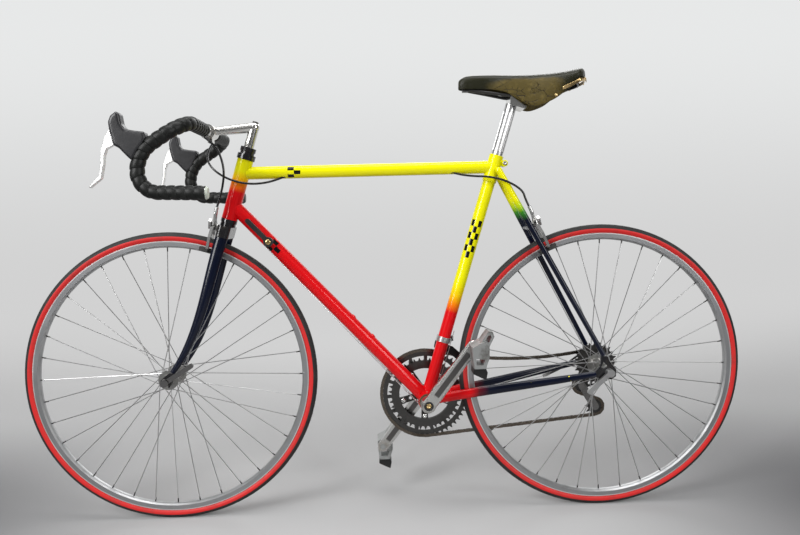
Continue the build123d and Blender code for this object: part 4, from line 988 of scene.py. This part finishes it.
# %% Wind the tape
wrap = {"Core": 12.9 * MM, "Pitch": 18.0 * MM, "Edge": 2.6 * MM,
        "Finish": finishes["bar_tape_foam"]}
winding = wrap_tree()
halves = []
for side in (-1, 1):
    course_points = [spot(*place) for place in bar_line(side, 52, -449)]
    edges = [(number, number + 1) for number in range(len(course_points) - 1)]
    mesh = bpy.data.meshes.new("tape_line")
    mesh.from_pydata(course_points, edges, [])
    halves.append(grow(stand("tape_line", mesh), winding, {**wrap, "Hand": float(side)}))
tape = tidy(joined("bar_tape_wrap", halves))
carry(tape, "steering", "tape", "bar_tape")

# %% [markdown]
# ## Brake hoods
# A hood is a moulded rubber boot pulled over the lever body, with no sharp edge.
# A copy of the drawn body is remade in small even faces and smoothed, which
# rounds it as rubber does and keeps its outline.

# %% Mould the hoods
hoods = copy_of("lever_hoods", "brake_hoods", "hood_rubber")
even = hoods.modifiers.new("even", "REMESH")
even.mode = "VOXEL"
even.voxel_size = 1.4 * MM
ease = hoods.modifiers.new("ease", "SMOOTH")
ease.factor = 0.6
ease.iterations = 9
settle(hoods)
hoods.data.materials.clear()
hoods.data.materials.append(finishes["hood_rubber"])
carry(hoods, "steering", "rubber", "brake_hoods")

# %% [markdown]
# ## Saddle
# A leather saddle is one thick hide, moulded wet over a form and riveted at its
# ends. It is drawn here as ribs from nose to tail, each of them up one flank,
# over the crown and down the other.

# %% Draw the ribs of the saddle
ribs = [  # x, top, half width, shoulder height, skirt, in millimetres from the bracket
    (83.5, 729, 6, 724, 715), (87, 735, 11, 727, 712), (104, 742.5, 16, 732, 711),
    (150, 744, 18, 733, 710), (185, 743, 30, 730, 702), (215, 742, 38, 727, 684),
    (246, 742, 46, 724, 667), (285, 743.5, 62, 725, 678), (318, 746.5, 73, 729, 697),
    (345, 750.5, 78, 733, 709), (358, 752, 77, 735, 715), (365, 750.5, 75, 734, 718),
    (369.5, 743, 73, 732, 720), (370.5, 732, 72, 729, 721),
]
CROWN_STEPS = 7
SKIRT_STEPS = 6
STATIONS = 52
TAIL_FROM, TAIL_LONG, TAIL_BOW = 290.0, 75.0, 22.0
HIDE_THICK = 4.2


def eased(rows, share):
    """A row at this share of the way along, on a smooth curve through the rows."""
    place = share * (len(rows) - 1)
    index = min(int(place), len(rows) - 2)
    t = place - index
    near = [rows[max(0, min(len(rows) - 1, index + step))] for step in (-1, 0, 1, 2)]
    return [0.5 * (2 * b + (c - a) * t + (2 * a - 5 * b + 4 * c - d) * t * t
                   + (3 * b - a - 3 * c + d) * t ** 3) for a, b, c, d in zip(*near)]


def rib(x, top, half, shoulder, skirt):
    """Points over the saddle at one place along it, from skirt to skirt.

    The skirt flares a little, the crown is a squared arch, and towards the tail
    the ends bow forwards.
    """
    bend = shoulder - 4
    flank = []
    for step in range(SKIRT_STEPS):
        share = step / SKIRT_STEPS
        flare = 0.90 + 0.10 * math.sin(share * math.pi / 2)
        flank.append((half * flare, skirt + (bend - skirt) * share))
    crown = []
    for step in range(CROWN_STEPS + 1):
        angle = math.pi / 2 * step / CROWN_STEPS
        crown.append((half * math.cos(angle) ** 0.72, bend + (top - bend) * math.sin(angle)))
    bow = TAIL_BOW * max(0.0, min(1.0, (x - TAIL_FROM) / TAIL_LONG)) ** 1.5
    left = [(x - bow * (y / half) ** 2, -y, z) for y, z in flank + crown]
    return left + [(place, -y, z) for place, y, z in reversed(left[:-1])]


print("a rib has", len(rib(*ribs[0])), "points")

# %% [markdown]
# The skin goes through the ribs and is closed over the nose. It is thickened
# inwards, so the outside keeps its size.

# %% Skin the saddle
vertices = []
for number in range(STATIONS):
    vertices += [spot(*p) for p in rib(*eased(ribs, number / (STATIONS - 1)))]
wide = len(vertices) // STATIONS
faces = lattice(STATIONS, wide) + [tuple(range(wide))]
hide = tidy(piece("saddle_hide", vertices, faces, "saddle_hide"))
thicken(hide, HIDE_THICK, -1)
carry(hide, "frame", "leather", "saddle_leather")
low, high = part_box("saddle_leather")
print("drawn saddle", [round(v, 3) for v in (*low, *high)])
corners = [[round(f(v.co[i] for v in hide.data.vertices), 3) for i in range(3)] for f in (min, max)]
print("hide        ", corners)

# %% [markdown]
# ## Rivets, nipples and bolts
# Small fasteners repeat round an axle: a nipple where each spoke meets the rim,
# five bolts through the chainrings. One node tree stands a stud at each place of
# such a ring, turned to face outwards.


# %% A ring of studs, as a node tree
def ring_tree():
    """Studs round an axle across the bicycle, by turns to its left and right."""
    tree, given = tree_with("ring_of_studs", "Radius First Stagger", Count="Int",
                            Centre="Vector", Finish="Material")
    index = given.node("GeometryNodeInputIndex")
    angle = given.also("First") + index * (2 * math.pi) / given.also("Count")
    side = (index % 2.0) * 2.0 - 1.0
    ahead = angle.sum("COSINE", angle) * given.also("Radius")
    above = angle.sum("SINE", angle) * given.also("Radius")
    place = given.node("ShaderNodeCombineXYZ", {},
                       {0: ahead, 1: side * given.also("Stagger"), 2: above})
    place = place.vector("ADD", given.also("Centre"))
    points = given.node("GeometryNodePoints", {}, {"Count": given.also("Count"), "Position": place})
    facing = given.node("ShaderNodeCombineXYZ", {}, {1: 0.0 - angle})
    studs = given.node("GeometryNodeInstanceOnPoints", {},
                       {"Points": points, "Instance": given, "Rotation": facing})
    finish_tree(given, studs)
    return tree


ring = ring_tree()


def stud_ring(name, outline, way, finish, count, radius, first, stagger, centre, sides):
    """Turned studs in a ring; radius and stagger in millimetres, first in degrees."""
    stud = turned(name, outline, (0, 0, 0), way, finish, sides)
    return grow(stud, ring, {"Count": count, "Radius": radius * MM, "First": math.radians(first),
                             "Stagger": stagger * MM, "Centre": tuple(centre),
                             "Finish": finishes[finish]})


# %% Spoke nipples
SPOKES = 36
NIPPLE_RADIUS, NIPPLE_STAGGER = 299.4, 1.5
nipple = [(0, 0.2), (0, 1.5), (-4.5, 1.6), (-6.5, 1.45), (-9.5, 1.35), (-9.5, 0.2)]
for wheel, axle in (("front", FRONT_AXLE), ("rear", REAR_AXLE)):
    made = stud_ring(wheel + "_nipples", nipple, (1, 0, 0), "dark_steel", SPOKES,
                     NIPPLE_RADIUS, 0, NIPPLE_STAGGER, axle, 8)
    carry(made, wheel + "_wheel", "dark_steel")

# %% Chainring bolts
BOLT_CIRCLE = 55  # its radius
bolt = [(-4.1, 0.3), (-5.4, 0.3), (-5.4, 3.2), (-5.2, 5.2), (-4.1, 5.4), (-4.1, 3.8), (4.1, 3.8),
        (4.1, 5.4), (5.4, 5.2), (5.8, 4.6), (5.8, 3.0), (4.9, 2.9), (4.9, 0.3)]
made = stud_ring("chainring_bolts", bolt, (0, 1, 0), "polished_alloy", 5, BOLT_CIRCLE,
                 CRANK_DEGREES + 216, 0, spot(0, 45, 0), 16)
carry(made, "crankset", "polished_alloy")

# %% [markdown]
# The rest stand alone: caps and bolts on the crank ends, the screws of the gear
# levers, the stem's bolts and the seat bolt. Each is a small turned shape, and
# those of one kind are joined.

# %% Lone bolts and caps
lone = {  # name: body, finish, slot, x, z, sides, outline from the middle plane outwards
    "crank_caps": ("crankset", "black_plastic", "black_parts", 0, 0, 32, [
        (70.0, 7.2), (70.0, 10.9), (72.3, 10.9), (72.9, 10.2), (72.9, 7.8), (72.2, 7.2),
        (70.0, 7.2)]),
    "crank_bolts": ("crankset", "brass", "brass", 0, 0, 6, [
        (66.6, 0.3), (66.6, 7.0), (70.2, 7.0), (71.0, 6.2), (71.2, 4.2), (70.0, 3.4), (70.0, 0.3)]),
    "lever_screws": ("frame", "brass", "brass", -354.3, 375.1, 20, [
        (29.1, 0.3), (29.1, 6.2), (30.4, 6.2), (31.2, 5.2), (31.5, 3.0), (31.5, 0.3)]),
    "seat_bolt": ("frame", "bright_steel", "steel", 186.6, 544.5, 20, [
        (11.1, 0.3), (11.1, 4.8), (14.2, 4.8), (15.0, 4.0), (15.0, 2.6), (13.4, 2.5), (13.4, 0.3)]),
    "clamp_bolt": ("steering", "dark_steel", "dark_steel", -479.0, 606.0, 16, [
        (11.1, 0.3), (11.1, 4.2), (13.6, 4.2), (14.2, 3.6), (14.2, 2.2), (12.8, 2.1), (12.8, 0.3)]),
}
for name, (body, finish, slot, x, z, sides, outline) in lone.items():
    pair = [turned(name, outline, spot(x, 0, z), (0, way, 0), finish, sides) for way in (-1, 1)]
    carry(joined(name, pair), body, slot)

elbow = spot(-381.2, 0, 633.8)
bolt = [(8.5, 0.3), (8.5, 7.2), (12.6, 6.8), (13.4, 6.0), (13.4, 3.2), (11.4, 3.0), (11.4, 0.3)]
expander = turned("stem_bolt", bolt, elbow, STEER_UP, "dark_steel", 20)
carry(expander, "steering", "dark_steel")

# %% [markdown]
# The hide is held at the tail by a brass plate bent round under its edge, with
# domed rivets through both.

# %% Rivets and the rear plate of the saddle
rivet = [(0.0, 0.3), (0.0, 4.0), (0.6, 3.9), (1.3, 3.0), (1.7, 1.6), (1.8, 0.3)]
rivets = [  # x, y and z, and the way it faces, on the right
    (340, 78.6, 717, (0.3, 1, 0)), (357, 62, 722, (0.8, 0.5, 0.1)),
    (367, 32, 724, (1, 0.3, 0.1)), (292, 62.6, 688, (0.2, 1, -0.1)),
]
heads = []
for x, y, z, (back, out, up) in rivets:
    for side in (-1, 1):
        place, way = spot(x, side * y, z), (back, side * out, up)
        heads.append(turned("rivet", rivet, place, way, "brass", 16))
heads.append(turned("rivet", rivet, spot(371, 0, 724), (1, 0, 0.1), "brass", 16))
carry(joined("saddle_rivets", heads), "frame", "brass")

edge = [(304, 72.5, 706), (318, 76.5, 710), (331, 78.5, 717), (342, 77.5, 722),
        (351, 70, 726), (361, 52, 728), (368, 27, 729), (371, 0, 729)]
edge = [(x, -y, z) for x, y, z in edge] + list(reversed(edge[:-1]))
vertices = []
for x, y, z in edge:
    vertices += [spot(x, y, z), spot(x - 0.5, y * 0.99, z - 4), spot(x - 2.5, y * 0.96, z - 9)]
plate = tidy(piece("rear_plate", vertices, lattice(len(edge), 3), "brass"))
thicken(plate, 1.4, 0)
carry(plate, "frame", "brass")

# %% [markdown]
# ## Floor, backdrop and light
# A pale sheet sweeps from under the wheels up behind the bicycle with no corner.
# Under the bicycle it is plain paper that takes the shadows, with painted shade
# that darkens it towards the camera and more at the near corners. Further back it
# glows for the camera and reflections only, with painted shade that makes it darker lower down.

# %% Sweep of pale paper
SWEEP_BACK, SWEEP_FRONT, SWEEP_WIDE, SWEEP_TALL, SWEEP_BEND = 4.6, -9.0, 9.0, 7.0, 2.0
BEND_STEPS = 16
BEND_FROM = SWEEP_BACK - SWEEP_BEND
profile = [(SWEEP_FRONT, GROUND), (BEND_FROM, GROUND)]
for step in range(1, BEND_STEPS + 1):
    angle = math.pi / 2 * step / BEND_STEPS
    profile.append((BEND_FROM + SWEEP_BEND * math.sin(angle),
                    GROUND + SWEEP_BEND * (1 - math.cos(angle))))
profile.append((SWEEP_BACK, SWEEP_TALL))
vertices = [(x, y, z) for y, z in profile for x in (-SWEEP_WIDE, SWEEP_WIDE)]
point = place_on("pale_paper")
x, y, z = point.xyz()
# Painted shade: the paper darkens towards the camera and at the near corners, and the glow darkens
# lower down.
corner = (x + 0.36).size().rise(0.35, 1.25) * (1 - y.rise(-0.1, 0.9))
near = 1 - y.rise(0.6, 2.8)
shade = near * 0.42 + corner * 0.50
paper = shade.tint((0.70, 0.70, 0.70), (0.04, 0.04, 0.045))
light = point.node("ShaderNodeLightPath")
seen = light.sum("MAXIMUM", light, light.also("Is Glossy Ray"))
seen = light.sum("MAXIMUM", seen, light.also("Is Transmission Ray"))
backdrop_painted_shade = z.rise(-1.0, 1.4).tint((0.64, 0.64, 0.64), (0.80, 0.81, 0.81))
glow = point.node("ShaderNodeEmission", {}, {"Color": backdrop_painted_shade, "Strength": 1.0})
cloth = point.node("ShaderNodeBsdfDiffuse", {}, {"Color": paper, "Roughness": 0.5})
mixed = point.node("ShaderNodeMixShader", {}, {0: seen * y.rise(0.7, 3.2), 1: cloth, 2: glow})
point.node("ShaderNodeOutputMaterial", {}, {"Surface": mixed})
sweep = piece("studio_sweep", vertices, lattice(len(profile), 2), "pale_paper")
print("sweep of", len(sweep.data.polygons), "faces")

# %% [markdown]
# The light is a studio's: a large soft box high on the left for the long
# highlights on the tubes, a weaker one on the right, one overhead, one behind for
# the rims' edges, and a faint even surround that fills the shadows.


# %% Lamps
AIM = (-0.3, 0, -0.4)
SURROUND = 0.12


def soft_box(name, place, wide, tall, watts):
    """A rectangular lamp that points at the middle of the bicycle."""
    lamp = stand(name, bpy.data.lights.new(name, "AREA"))
    lamp.data.shape = "RECTANGLE"
    lamp.data.size, lamp.data.size_y = wide, tall
    lamp.data.energy = watts
    lamp.location = place
    lamp.rotation_euler = (Vector(AIM) - Vector(place)).to_track_quat("-Z", "Y").to_euler()


soft_box("key_light", (-3.0, -2.6, 1.3), 1.4, 2.6, 150)
soft_box("fill_light", (2.4, -2.8, 0.7), 1.8, 1.8, 62)
soft_box("top_light", (-0.3, -0.4, 2.4), 2.8, 1.4, 66)
soft_box("rear_light", (0.4, 3.2, 1.8), 2.4, 1.4, 36)
surround = bpy.data.worlds.new("surround")
surround.use_nodes = True
background = surround.node_tree.nodes["Background"]
background.inputs["Color"].default_value = (1, 1, 1, 1)
background.inputs["Strength"].default_value = SURROUND
bpy.context.scene.world = surround

# %% [markdown]
